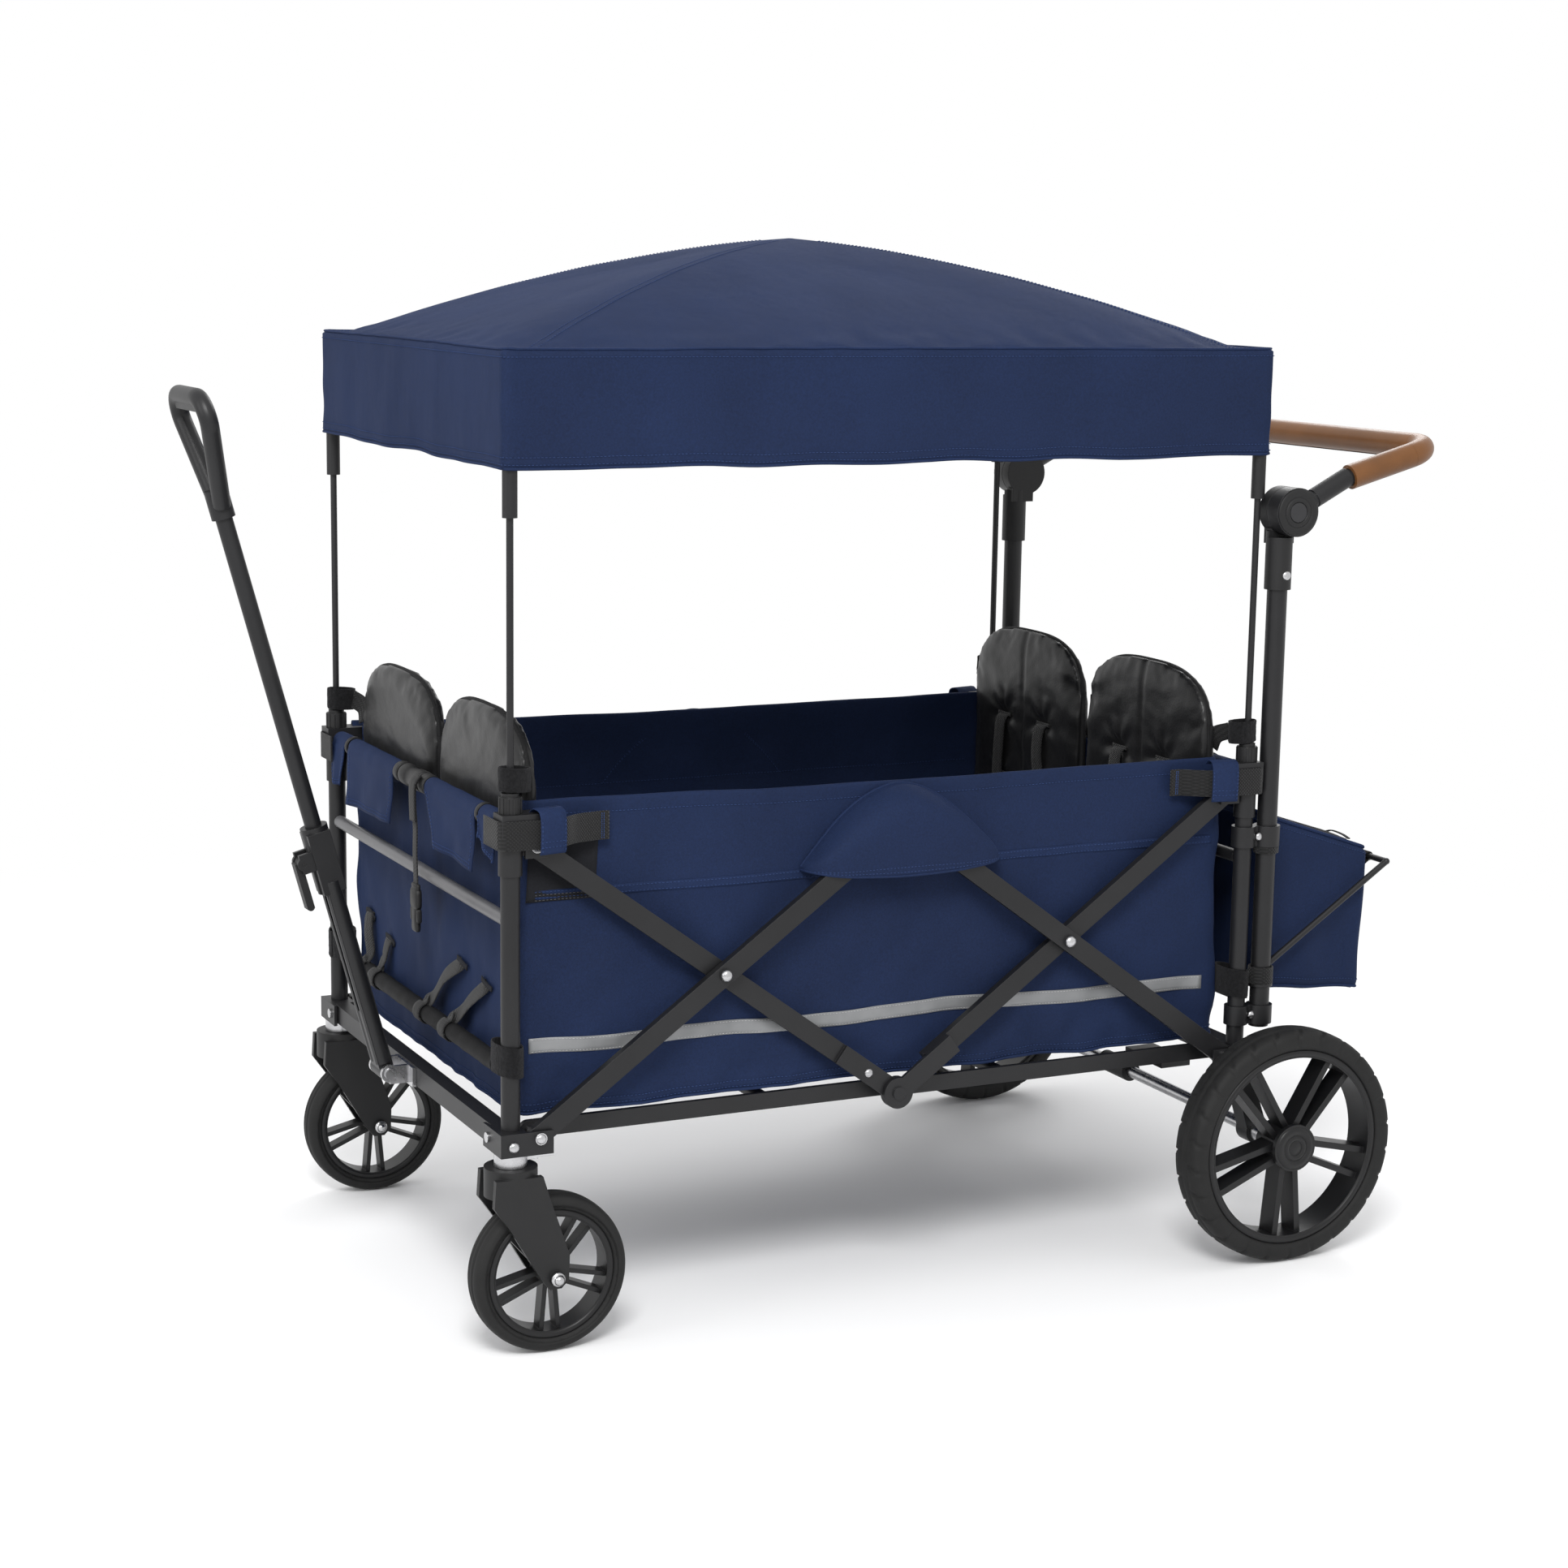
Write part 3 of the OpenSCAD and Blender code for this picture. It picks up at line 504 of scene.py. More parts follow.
def lathe(name, profile, centre, axis_y, mat, n=64, closed_profile=False):
    """Turns a profile of (radius, along) about a Y axis; axis_y is +1 or -1 for the way along points."""
    k = len(profile)
    verts = []
    for i in range(n):
        a = 2 * math.pi * i / n
        verts += [(centre[0] + r * math.cos(a), centre[1] + axis_y * h, centre[2] + r * math.sin(a))
            for r, h in profile]
    faces = [
        (i * k + j, (i + 1) % n * k + j, (i + 1) % n * k + (j + 1) % k, i * k + (j + 1) % k)
        for i in range(n) for j in range(k if closed_profile else k - 1)
    ]
    return outward(mesh(name, verts, faces, mat))


def merge(name, obs):
    """Joins meshes of one material into one piece."""
    verts, faces = [], []
    for o in obs:
        base = len(verts)
        verts += [tuple(v.co / MM) for v in o.data.vertices]
        faces += [tuple(base + i for i in p.vertices) for p in o.data.polygons]
    mat = next(k for k, v in M.items() if v == obs[0].data.materials[0])
    for o in obs:
        bpy.data.objects.remove(o)
    return mesh(name, verts, faces, mat)


def mirrored(name, ob, sx=1, sy=1):
    """A mirrored copy of ob's mesh."""
    flip = sx * sy < 0
    verts = [(v.co.x * sx / MM, v.co.y * sy / MM, v.co.z / MM) for v in ob.data.vertices]
    faces = [tuple(reversed(p.vertices)) if flip else tuple(p.vertices) for p in ob.data.polygons]
    mat = next(k for k, v in M.items() if v == ob.data.materials[0])
    return mesh(name, verts, faces, mat)


def wob(*p, k=60.0, amp=1.0, seed=0.0):
    """Smooth noise in -amp..amp that changes over about k millimetres."""
    v = Vector((p[0] / k + seed, (p[1] if len(p) > 1 else 0) / k, (p[2] if len(p) > 2 else 0) / k))
    return noise.noise(v) * amp * 1.6


def turned(degrees):
    """Cosine and sine of an angle in degrees."""
    return math.cos(math.radians(degrees)), math.sin(math.radians(degrees))


def step(a, b, x):
    t = min(1, max(0, (x - a) / (b - a)))
    return t * t * (3 - 2 * t)


def on_fold(ob, body="rear_top"):
    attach(ob, body)
    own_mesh(ob)
    return ob


def rect_point(u, hx, hy, r):
    """A point and outward normal on a rounded rectangle; u goes round from 0 to 1, anticlockwise."""
    ax, ay, arc = hx - r, hy - r, math.pi * r / 2
    parts = [(2 * ay, "E"), (arc, "NE"), (2 * ax, "N"), (arc, "NW"), (2 * ay, "W"), (arc, "SW"),
        (2 * ax, "S"), (arc, "SE")]
    d = u % 1 * sum(p[0] for p in parts)
    for length, kind in parts:
        if d <= length:
            break
        d -= length
    t = d / length
    if kind == "E":
        return (hx, -ay + 2 * ay * t), (1, 0)
    if kind == "N":
        return (ax - 2 * ax * t, hy), (0, 1)
    if kind == "W":
        return (-hx, ay - 2 * ay * t), (-1, 0)
    if kind == "S":
        return (-ax + 2 * ax * t, -hy), (0, -1)
    a0, cx, cy = {"NE": (0, ax, ay), "NW": (90, -ax, ay), "SW": (180, -ax, -ay), "SE": (270, ax, -ay)}[kind]
    a = math.radians(a0 + 90 * t)
    return (cx + r * math.cos(a), cy + r * math.sin(a)), (math.cos(a), math.sin(a))


# tub --------------------------------------------------------------------------
def wall_bulge(x, y, z):
    """How far the tub's wall stands out from its flat place, in millimetres."""
    side = abs(y) > TY - 30
    low = step(360, 300, z)
    d = wob(x, y, z * 0.45, k=95, amp=2.6, seed=3.1) + wob(x, y, z * 0.5, k=36, amp=0.9, seed=9.7)
    d += wob(x, y, z, k=26, amp=2.2, seed=5.5) * low
    d += wob(0.75 * x + 0.6 * z, y, 0.25 * z - 0.2 * x, k=52, amp=4.0, seed=12.5) * step(615, 470, z)
    d += wob(0.6 * x - 0.7 * z, y, 0.2 * x, k=33, amp=2.2, seed=21.5) * step(560, 400, z)
    if side:
        d += -7.0 * step(SEAM_Z + 8, RIM_Z, z) + 1.5 * math.exp(-((z - SEAM_Z) / 14) ** 2)
        d += 2.2 * math.sin(x / 31 + 0.8 * math.sin(x / 77)) * step(430, 300, z) * 0.8
    else:
        d = max(-0.5, 0.6 * d + 2.0)
    d -= 2.6
    return max(-13, d if d < 1.2 else 1.2 + 3.0 * math.tanh((d - 1.2) / 3.0))


def rim_height(x, y):
    if abs(y) > TY - 30:
        return 627.5 + 5.5 * step(-40, -428, x) + 1.5 * step(60, 420, x) + wob(x, y, k=120, amp=0.7)
    return END_RIM_Z


def hem_z(x, y):
    return TUB_Z0 + 2.2 + wob(x, y, k=70, amp=2.2, seed=1.3)


def wall_point(u, z, inset=0.0):
    (x, y), (nx, ny) = rect_point(u, WALL_X, WALL_Y, WALL_R)
    d = wall_bulge(x, y, z) - inset
    return x + nx * d, y + ny * d, z


def build_tub():
    nu, floor_rows, wall_rows, roll_rows = 380, 7, 50, 6

    def point(u, v_index):
        (x, y), _ = rect_point(u, WALL_X, WALL_Y, WALL_R)
        top = rim_height(x, y)
        hem = hem_z(x, y)
        if v_index < floor_rows:
            share = v_index / floor_rows
            px_, py_, _ = wall_point(u, hem, 3.0)
            return px_ * share, py_ * share, hem + 3.0
        v_index -= floor_rows
        if v_index < wall_rows:
            z = hem + (top - 4 - hem) * v_index / (wall_rows - 1)
            return wall_point(u, z)
        v_index -= wall_rows
        if v_index < roll_rows:
            a = math.pi * (v_index + 1) / (roll_rows + 1)
            return (*wall_point(u, top - 4, 3.2 * (1 - math.cos(a)))[:2], top - 4 + 4 * math.sin(a))
        v_index -= roll_rows
        if v_index < wall_rows - 8:
            z = top - 4 - (top - 4 - hem - 7) * v_index / (wall_rows - 9)
            return wall_point(u, z, 6.4 - 2.4 * step(0, 6, v_index))
        share = 1 - (v_index - (wall_rows - 8)) / floor_rows
        px_, py_, _ = wall_point(u, hem + 7, 5.0)
        return px_ * share, py_ * share, hem + 7

    rows = floor_rows + wall_rows + roll_rows + wall_rows - 8 + floor_rows
    tub = grid("tub_fabric", nu, rows, lambda u, v: point(u, round(v * (rows - 1))), "navy", wrap_u=True)
    outward(modified(tub, "WELD", merge_threshold=0.0002))
    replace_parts(on_fold(tub), "tub")


build_tub()
EDGE = [(-450 + 9 * i) for i in range(101)]


def along_side(sy, z, out=0.9, x0=-450, x1=450):
    """Points on the tub's long wall at height z, which may be a function of x."""
    pts = []
    for i in range(int((x1 - x0) / 6) + 1):
        x = x0 + (x1 - x0) * i / int((x1 - x0) / 6)
        h = z(x) if callable(z) else z
        pts.append((x, sy * (WALL_Y + wall_bulge(x, sy * TY, h) + out), h))
    return pts


def around(z, out=0.7):
    """Points right round the tub's wall at height z."""
    pts = []
    for i in range(481):
        (x, y), (nx, ny) = rect_point(i / 480, WALL_X, WALL_Y, WALL_R)
        h = z(x, y)
        d = wall_bulge(x, y, h) + out
        pts.append((x + nx * d, y + ny * d, h))
    return pts


def seam_z(x):
    return SEAM_Z + 1.5 * math.sin(x / 140)


def tape_z(x):
    middle = step(440, 350, abs(x))
    return 348.5 + 3 * step(-100, -460, x) - 4 * step(0, 440, x) + 1.6 * math.sin(x / 47) * middle


def build_tub_trim():
    threads = [around(lambda x, y: hem_z(x, y) + 4.5), around(lambda x, y: hem_z(x, y) + 11)]
    pale = []
    for sy in (-1, 1):
        for dz in (-3.4, 3.4):
            threads.append(along_side(sy, lambda x, dz=dz: seam_z(x) + dz, 1.1))
            pale.append(along_side(sy, lambda x, dz=dz: tape_z(x) + dz * 2.0, 1.9, -452, 440))
        threads.append(along_side(sy, lambda x: rim_height(x, sy * TY) - 17, 0.6))
    on_fold(stitches("tub_stitching", threads))
    on_fold(stitches("tape_stitching", pale, "thread_pale", 4.0, 2.6, 0.42))
    felled = [strap(f"band{i}", along_side(sy, seam_z, 0.25), (0, sy, 0), 11, 1.3, "navy_trim", 0)
        for i, sy in enumerate((-1, 1))]
    on_fold(merge("band_seam", felled))
    tapes = [strap(f"tape{i}", along_side(sy, tape_z, 0.9, -456, 442), (0, sy, 0), 17.5, 1.0, "silver", 0)
        for i, sy in enumerate((-1, 1))]
    on_fold(merge("reflective_tape", tapes))
    on_fold(tube("hem_binding", around(lambda x, y: hem_z(x, y) + 0.6, -0.4)[:-1], 1.9, "navy_trim", smooth=0,
        closed=True, n=8))
    # darker corner patches at the front posts
    patches = []
    for i, sy in enumerate((-1, 1)):
        def corner(u, v, sy=sy):
            x = -462 + 84 * u + 6 * v
            z = 519 + (588 - 519) * v
            return x, sy * (WALL_Y + wall_bulge(max(-450, x), sy * TY, z) + 1.0), z
        patches.append(grid(f"patch{i}", 16, 12, corner, "charcoal"))
    on_fold(thick(merge("corner_patches", patches), 0.8))
    on_fold(stitches("patch_stitching", [along_side(sy, 521 + dz, 1.9, -450, -380) for sy in (-1, 1)
        for dz in (0, 6)], "thread_grey"))


build_tub_trim()


def flap_edge(t):
    """The arch's outline on the wall: t from 0 at the front foot to 1 at the rear foot."""
    x = -122 + 262 * t
    k = 2 * t - 1
    return x, 533 + 93 * (1 - abs(k) ** 1.8)


def build_arches():
    """The padded arches over the scissors' upper knuckles."""
    shells, threads, piping = [], [], []
    for sy in (-1, 1):
        def wall(x, z):
            return WALL_Y + wall_bulge(x, sy * TY, z)

        def point(u, v, sy=sy):
            x, z1 = flap_edge(0.004 + 0.992 * u)
            lower = 531.5 - 9.5 * math.sin(math.pi * u)
            z = lower + (z1 - lower) * v
            body = (1 - abs(2 * u - 1) ** 9) * (1 - v ** 7)
            out = 1.2 + 38.5 * body ** 0.75 + wob(x, z, k=42, amp=1.3, seed=2.2) * body
            return x, sy * (wall(x, z) * (1 - body) + (TY - 3) * body + out), z

        shells.append(grid(f"arch{sy}", 72, 30, point, "navy"))
        top = [point(i / 90, 0.995) for i in range(91)]
        piping.append(sweep(f"pipe{sy}", [(x, y + sy * 0.6, z) for x, y, z in top], round_section(1.7, 8),
            (0, 1, 0.2), "navy_trim"))
        inner = [point(0.04 + 0.92 * i / 90, 0.93) for i in range(91)]
        low = [point(i / 90, 0.045) for i in range(91)]
        low2 = [point(i / 90, 0.10) for i in range(91)]
        threads += [[(x, y + sy * 0.5, z) for x, y, z in line] for line in (inner, low, low2)]
        edge = [point(i / 90, 0.0) for i in range(91)]
        piping.append(sweep(f"edge{sy}", edge, round_section(1.6, 8), (0, 0, 1), "navy_trim"))
    arches = modified(merge("arch_flaps", shells), "SOLIDIFY", thickness=1.4 * MM, offset=0,
        use_even_offset=True)
    on_fold(arches)
    on_fold(merge("arch_piping", piping))
    on_fold(stitches("arch_stitching", threads))
    # the same arch is quilted into the inside of the walls
    lines = []
    for sy in (-1, 1):
        for k in (0, 1):
            line = []
            for i in range(91):
                x, z = flap_edge(i / 90)
                z = 530 + (z - 530) * (1 - 0.05 * k)
                line.append((x, sy * (WALL_Y + wall_bulge(x, sy * TY, z) - 6.4 + 2.4 - 0.3), z))
            lines.append(line)
        lines.append([(x, sy * (WALL_Y + wall_bulge(x, sy * TY, 532) - 4.3), 532) for x in EDGE[2:-2]])
    on_fold(stitches("inside_stitching", lines))


build_arches()


# corner webbing, tabs and hook-and-loop bands ---------------------------------
def corner_webbing(name, sx, sy, body, reach=118.0):
    """Black webbing round the corner's casting, then along the rim, under a cloth tab."""
    def p(x, y, z=603):
        return sx * x, sy * y, z
    outer = PY + 18.2
    path = [p(PX + 17.6, PY - 36), p(PX + 17.8, PY - 12), p(PX + 17.8, PY + 6)]
    path += [p(PX + 17.8 - 12 * (1 - math.cos(a)), PY + 6.2 + 12 * math.sin(a))
        for a in (0.4, 0.8, 1.2, 1.57)]
    path += [p(PX - 20, outer), p(PX - 43, outer - 0.4), p(PX - 62, outer - 8), p(PX - 80, outer - 20),
        p(PX - reach + 14, outer - 27.5), p(PX - reach, outer - 28.2)]
    pts = smooth_path(path, 5)
    rows = frames(pts, (0, 0, 1))
    web = sweep(name + "_webbing", pts, [(b, a) for a, b in strap_section(33, 1.7)], (0, 0, 1), "web")
    tab_path, n = [], len(rows)
    lo, hi = int(n * 0.60), int(n * 0.60) + 9
    mid = rows[(lo + hi) // 2][0]
    t = (rows[hi][0] - rows[lo][0]).normalized()
    out = Vector((t.y, -t.x, 0))
    if out.y * sy < 0:
        out = -out
    for h, d in ((-22, 0.6), (-20, 2.4), (-12, 3.2), (0, 3.6), (12, 3.3), (18, 2.6), (24, 0.5), (27, -5),
            (27.5, -14), (22, -22)):
        tab_path.append(mid + Vector((0, 0, h)) + out * d)
    tab = sweep(name + "_tab", smooth_path(tab_path, 4), strap_section(34, 1.6), tuple(out), "navy_trim")
    marks = [[mid + Vector((0, 0, h)) + out * (4.6 - abs(h) * 0.03) + t * (k * 15) for k in (-1, 1)]
        for h in (-8, -14)]
    marks += [[mid + Vector((0, 0, h)) + out * 4.2 + t * (s * 15.2) for h in (-18, 16)] for s in (-1, 1)]
    end = rows[-3]
    bars = [[end[0] - end[1] * d + Vector((0, 0, h)) + out * 1.2 for h in (-14, 14)]
        for d in (2, 4.5, 17, 19.5)]
    for o in (web, tab, stitches(name + "_tab_stitching", marks),
            stitches(name + "_bar_tacks", bars, "thread", 2.3, 2.2, 0.6)):
        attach(o, body)


CORNERS = (
    ("fl", -1, -1, "front_top"),
    ("fr", -1, 1, "front_top"),
    ("rl", 1, -1, "rear_top"),
    ("rr", 1, 1, "rear_top"),
)
for name, sx, sy, body in CORNERS:
    corner_webbing(name, sx, sy, body, 122 if sx < 0 else 104)


def band(name, cx, cy, rx, ry, z0, z1, body, lean=0.0, seed=0.0, overlap=0.4):
    """A hook-and-loop band: a flat loop whose end laps over its start."""
    n, pts = 46, []
    for i in range(n + 1):
        a = 2 * math.pi * (i / n) * (1 + overlap / 6.28) + seed
        grow = 1.0 + 2.0 * step(n * 0.86, n, i) / max(rx, ry)
        pts.append((cx + rx * grow * math.cos(a), cy + ry * grow * math.sin(a),
            (z0 + z1) / 2 + lean * math.cos(a)))
    loop = sweep(name, pts, [(b, a) for a, b in strap_section(z1 - z0, 2.0)], (0, 0, 1), "fuzzy")
    rough = modified(loop, "SUBSURF", levels=1)
    for v in rough.data.vertices:
        n3 = noise.noise(v.co * 420 + Vector((seed, 0, 0))) * 0.0009
        v.co += Vector((v.co.x - cx * MM, v.co.y - cy * MM, 0)).normalized() * n3
    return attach(rough, body)


for tag, sx, sy, top_body in CORNERS:
    band(f"{tag}_pole_band", sx * (PX - 6), sy * (PY - 3), 17.5, 12.5, 650, 677, top_body, 1.0 * sx,
        2.0 + sx + sy)
    tongue = [(sx * (PX - 18), sy * (PY - 10), 664), (sx * (PX - 26), sy * (PY - 30), 656),
        (sx * (PX - 24), sy * (PY - 44), 640)]
    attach(strap(f"{tag}_pole_tie", tongue, (sx, sy * -0.3, 0.4), 22, 1.6, "web"), top_body)
    band(f"{tag}_post_band", sx * (PX - 1), sy * (PY - 13), 15.5, 28.0, 326, 361, "front_frame" if sx < 0
        else "rear_frame", 2.0 * sy, 4.0 + sx * 2 + sy)


# front and rear rail flaps ----------------------------------------------------
RAIL_X, RAIL_Z, RAIL_R = PX, 612.0, 9.0


def flap(name, sx, y0, y1, yb0, yb1, zb0, zb1, body, seed):
    """Cloth folded over a top rail: from the inside wall, over, and down to a stitched hem."""
    side = []
    for a in range(-30, 181, 15):
        r = RAIL_R + 1.6
        side.append((RAIL_X - r * math.cos(math.radians(a)), RAIL_Z + r * math.sin(math.radians(a))))
    inner = [(TX - 1.5, 585), (TX - 0.6, 598)]
    wrap = inner + side[1:]
    nv, drop = len(wrap), 16

    def point(u, v):
        i = round(v * (nv + drop - 1))
        if i < nv:
            y = y0 + (y1 - y0) * u
            x, z = wrap[i]
            return sx * (x + wob(y, z, k=25, amp=0.35, seed=seed)), y, z + wob(y, k=40, amp=0.4, seed=seed)
        s = (i - nv + 1) / drop
        top, bottom = y0 + (y1 - y0) * u, yb0 + (yb1 - yb0) * u
        y = top + (bottom - top) * s
        z = wrap[-1][1] + (zb0 + (zb1 - zb0) * u - wrap[-1][1]) * s
        sway = 4.0 * math.sin(u * 8.5 + seed * 3) * s * 0.5
        loose = wob(y, z, k=38, amp=2.6, seed=seed) * s
        x = wrap[-1][0] + 1.5 + sway + loose + 3.0 * s * s
        return sx * x, y, z

    cloth = grid(name, 30, nv + drop, point, "navy")
    cloth = modified(cloth, "SOLIDIFY", thickness=1.5 * MM, offset=0, use_even_offset=True)
    outward(cloth)
    off = 1.15 * sx
    lines = []
    for v in (0.955, 0.92):
        lines.append([point(0.04 + 0.92 * i / 40, round(v * (nv + drop - 1)) / (nv + drop - 1))
            for i in range(41)])
    for u in (0.05, 0.95):
        lines.append([point(u, (nv + k) / (nv + drop - 1)) for k in range(drop)])
    thread = stitches(name + "_stitching", [[(x + off, y, z) for x, y, z in line] for line in lines])
    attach(cloth, body)
    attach(thread, body)
    tall = sum(math.dist(a, b) for a, b in zip(wrap, wrap[1:])) + wrap[-1][1] - (zb0 + zb1) / 2


for tag, sx, body in (("front", -1, "front_top"), ("rear", 1, "rear_top")):
    flap(f"{tag}_flap_near", sx, -62, -238, -112, -240, 549, 545, body, 0.4)
    flap(f"{tag}_flap_far", sx, 236, 54, 230, 62, 541, 546, body, 2.9)
    flap(f"{tag}_flap_near_end", sx, -248, -300, -256, -303, 590, 566, body, 5.2)
    flap(f"{tag}_flap_far_end", sx, 300, 250, 303, 262, 556, 560, body, 7.7)


def rail_clips():
    """Small black clips on each top rail, and its centre joiner."""
    arc = [turned(a) for a in range(-150, 151, 20)]
    for tag, sx, body in (("front", -1, "front_top"), ("rear", 1, "rear_top")):
        pieces = []
        for i, (y, w) in enumerate(((-243, 7), (-50, 20), (46, 14), (244, 7))):
            r = RAIL_R + 2.6
            pts = [(sx * (RAIL_X + r * c), y, RAIL_Z + r * s) for c, s in arc]
            pieces.append(sweep(f"clip{i}", pts, strap_section(w, 2.6),
                lambda k, pts=pts, sx=sx: Vector(pts[k]) - Vector((sx * RAIL_X, pts[k][1], RAIL_Z)),
                "plastic"))
        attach(merge(f"{tag}_rail_clips", pieces), body)
        prof = [(RAIL_R + 0.3, -34), (RAIL_R + 3.4, -34), (RAIL_R + 4.2, -31), (RAIL_R + 4.2, -12),
            (RAIL_R + 2.6, -10), (RAIL_R + 2.6, 10), (RAIL_R + 4.2, 12), (RAIL_R + 4.2, 31),
            (RAIL_R + 3.4, 34), (RAIL_R + 0.3, 34)]
        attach(lathe(f"{tag}_rail_joiner", prof, (sx * RAIL_X, 0, RAIL_Z), 1, "plastic", 40, True), body)


rail_clips()


def buckle_strap():
    """The strap with its side-release buckle that hangs from the front rail."""
    x = -(PX + 15)
    top = [(x + 6, -40, 622), (x - 1, -40, 612), (x - 2, -40, 590), (x - 1, -42, 560), (x - 1.5, -42, 530),
        (x - 1, -43, 500), (x - 1.5, -43, 484)]
    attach(strap("buckle_strap", top, (-1, 0, 0.1), 15, 1.5, "web"), "front_top")
    wide = [(x + 4, -40, 624), (x - 3.5, -40, 612), (x - 4, -40, 588), (x - 3.5, -40.5, 568)]
    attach(strap("buckle_strap_fold", wide, (-1, 0, 0.1), 21, 1.6, "web"), "front_top")

    def slab(name, cy, z0, z1, w, d, x0, waist=1.0):
        outline = []
        for i in range(28):
            a = 2 * math.pi * i / 28
            c, s = math.cos(a), math.sin(a)
            k = 1 / max(abs(c), abs(s)) ** 0.82
            yy, zz = c * k * w / 2, s * k * (z1 - z0) / 2
            yy *= waist + (1 - waist) * abs(zz) / ((z1 - z0) / 2)
            outline.append((yy, zz))
        rings = [(0.86, -d / 2), (1.0, -d / 2 + 1), (1.0, d / 2 - 1), (0.86, d / 2)]
        verts = [(x0 + dx, cy + yy * k, (z0 + z1) / 2 + zz * k) for k, dx in rings for yy, zz in outline]
        n = len(outline)
        faces = [(r * n + j, r * n + (j + 1) % n, (r + 1) * n + (j + 1) % n, (r + 1) * n + j)
            for r in range(3) for j in range(n)]
        faces += [tuple(range(n - 1, -1, -1)), tuple(3 * n + j for j in range(n))]
        return outward(mesh(name, verts, faces, "plastic"))

    parts = [slab("b0", -43, 462, 487, 25, 7.5, x - 1), slab("b1", -43, 434, 466, 21, 6.2, x - 1, 0.72),
        slab("b2", -43, 484, 493, 22, 5, x - 1)]
    parts += [slab(f"b{3 + i}", -43 + s * 11.3, 446, 463, 4.6, 5.4, x - 1) for i, s in enumerate((-1, 1))]
    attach(merge("side_release_buckle", parts), "front_top")


buckle_strap()


def low_tube_sleeve():
    """Black cloth sleeve with stitched ends over the low front cross tube."""
    prof = [(9.6, -286), (10.6, -286), (11.0, -283), (10.5, -279)]
    prof += [(10.5 + 0.35 * math.sin(y / 7.0) * math.sin(y / 23.0), y) for y in range(-274, 275, 4)]
    prof += [(10.5, 279), (11.0, 283), (10.6, 286), (9.6, 286)]
    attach(lathe("low_tube_sleeve", prof, (-PX, 0, LOW_TUBE_Z), 1, "pad_back", 32, True), "front_frame")


low_tube_sleeve()


def anchor_straps():
    """Harness anchor straps: out of slots in the end wall, round the low cross tube."""
    for tag, sx, top_body, low_body in (("front", -1, "front_top", "front_frame"),
            ("rear", 1, "rear_top", "rear_frame")):
        straps, lips = [], []
        for i, (ys, zs, yt) in enumerate(((-205, 398, -118), (-128, 408, -28), (138, 380, 152),
                (226, 396, 205))):
            wall = TX + 1.0 + wall_bulge(-TX, ys, zs)
            ring = []
            for a in range(120, -160, -20):
                c, s = turned(a)
                ring.append((sx * (PX + 12.4 * c), yt, LOW_TUBE_Z + 12.4 * s))
            drop = [(sx * (TX - 3), ys, zs + 4), (sx * (wall + 3), ys + (yt - ys) * 0.05, zs),
                (sx * (wall + 7), ys + (yt - ys) * 0.45, zs - 22), (sx * (wall + 7), ys + (yt - ys) * 0.85,
                352), *ring[1:]]
            straps.append(strap(f"a{i}", drop, lambda k, sx=sx: (sx, 0, 0.5), 23, 1.6, "web", 5))
            lips.append(strap(f"l{i}", [(sx * (wall + 0.8), ys - 17, zs + 3 - 2 * i),
                (sx * (wall + 1.4), ys, zs + 5), (sx * (wall + 0.8), ys + 17, zs + 9 - 2 * i)], (sx, 0, 0), 7,
                1.4, "charcoal"))
        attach(merge(f"{tag}_anchor_straps", straps), low_body)
        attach(merge(f"{tag}_slot_lips", lips), top_body)


anchor_straps()


# padded backs and seats -------------------------------------------------------
def puffed(ob, pressure, cap, voxel, frames_run=20):
    """The cushion swells under Cloth pressure; each point moves at most cap."""
    modified(ob, "REMESH", mode="VOXEL", voxel_size=voxel * MM)
    rest = [v.co.copy() for v in ob.data.vertices]
    cloth = ob.modifiers.new("cloth", "CLOTH")
    cloth.settings.use_pressure = True
    cloth.settings.uniform_pressure_force = pressure
    cloth.settings.effector_weights.gravity = 0
    cloth.settings.quality = 5
    cloth.point_cache.frame_start, cloth.point_cache.frame_end = 1, frames_run
    for f in range(1, frames_run + 1):
        scene.frame_set(f)
    settle(ob)
    scene.frame_set(1)
    for v, r in zip(ob.data.vertices, rest):
        d = v.co - r
        if d.length > cap * MM:
            v.co = r + d.normalized() * cap * MM
    modified(ob, "SUBSURF", levels=1)
    for p in ob.data.polygons:
        p.use_smooth = True
    return ob


def back_outline(w, z0, z1, k=26):
    """Half-round topped outline of (across, height) points, anticlockwise."""
    pts = [(w / 2 - 4, z0), (w / 2, z0 + 8), (w / 2, z1 - 92)]
    for i in range(1, k):
        a = math.pi * i / k
        c, s = math.cos(a), math.sin(a)
        pts.append((w / 2 * math.copysign(abs(c) ** 0.66, c), z1 - 92 + 92 * s ** 0.76))
    pts += [(-w / 2, z1 - 92), (-w / 2, z0 + 8), (-w / 2 + 4, z0)]
    return pts


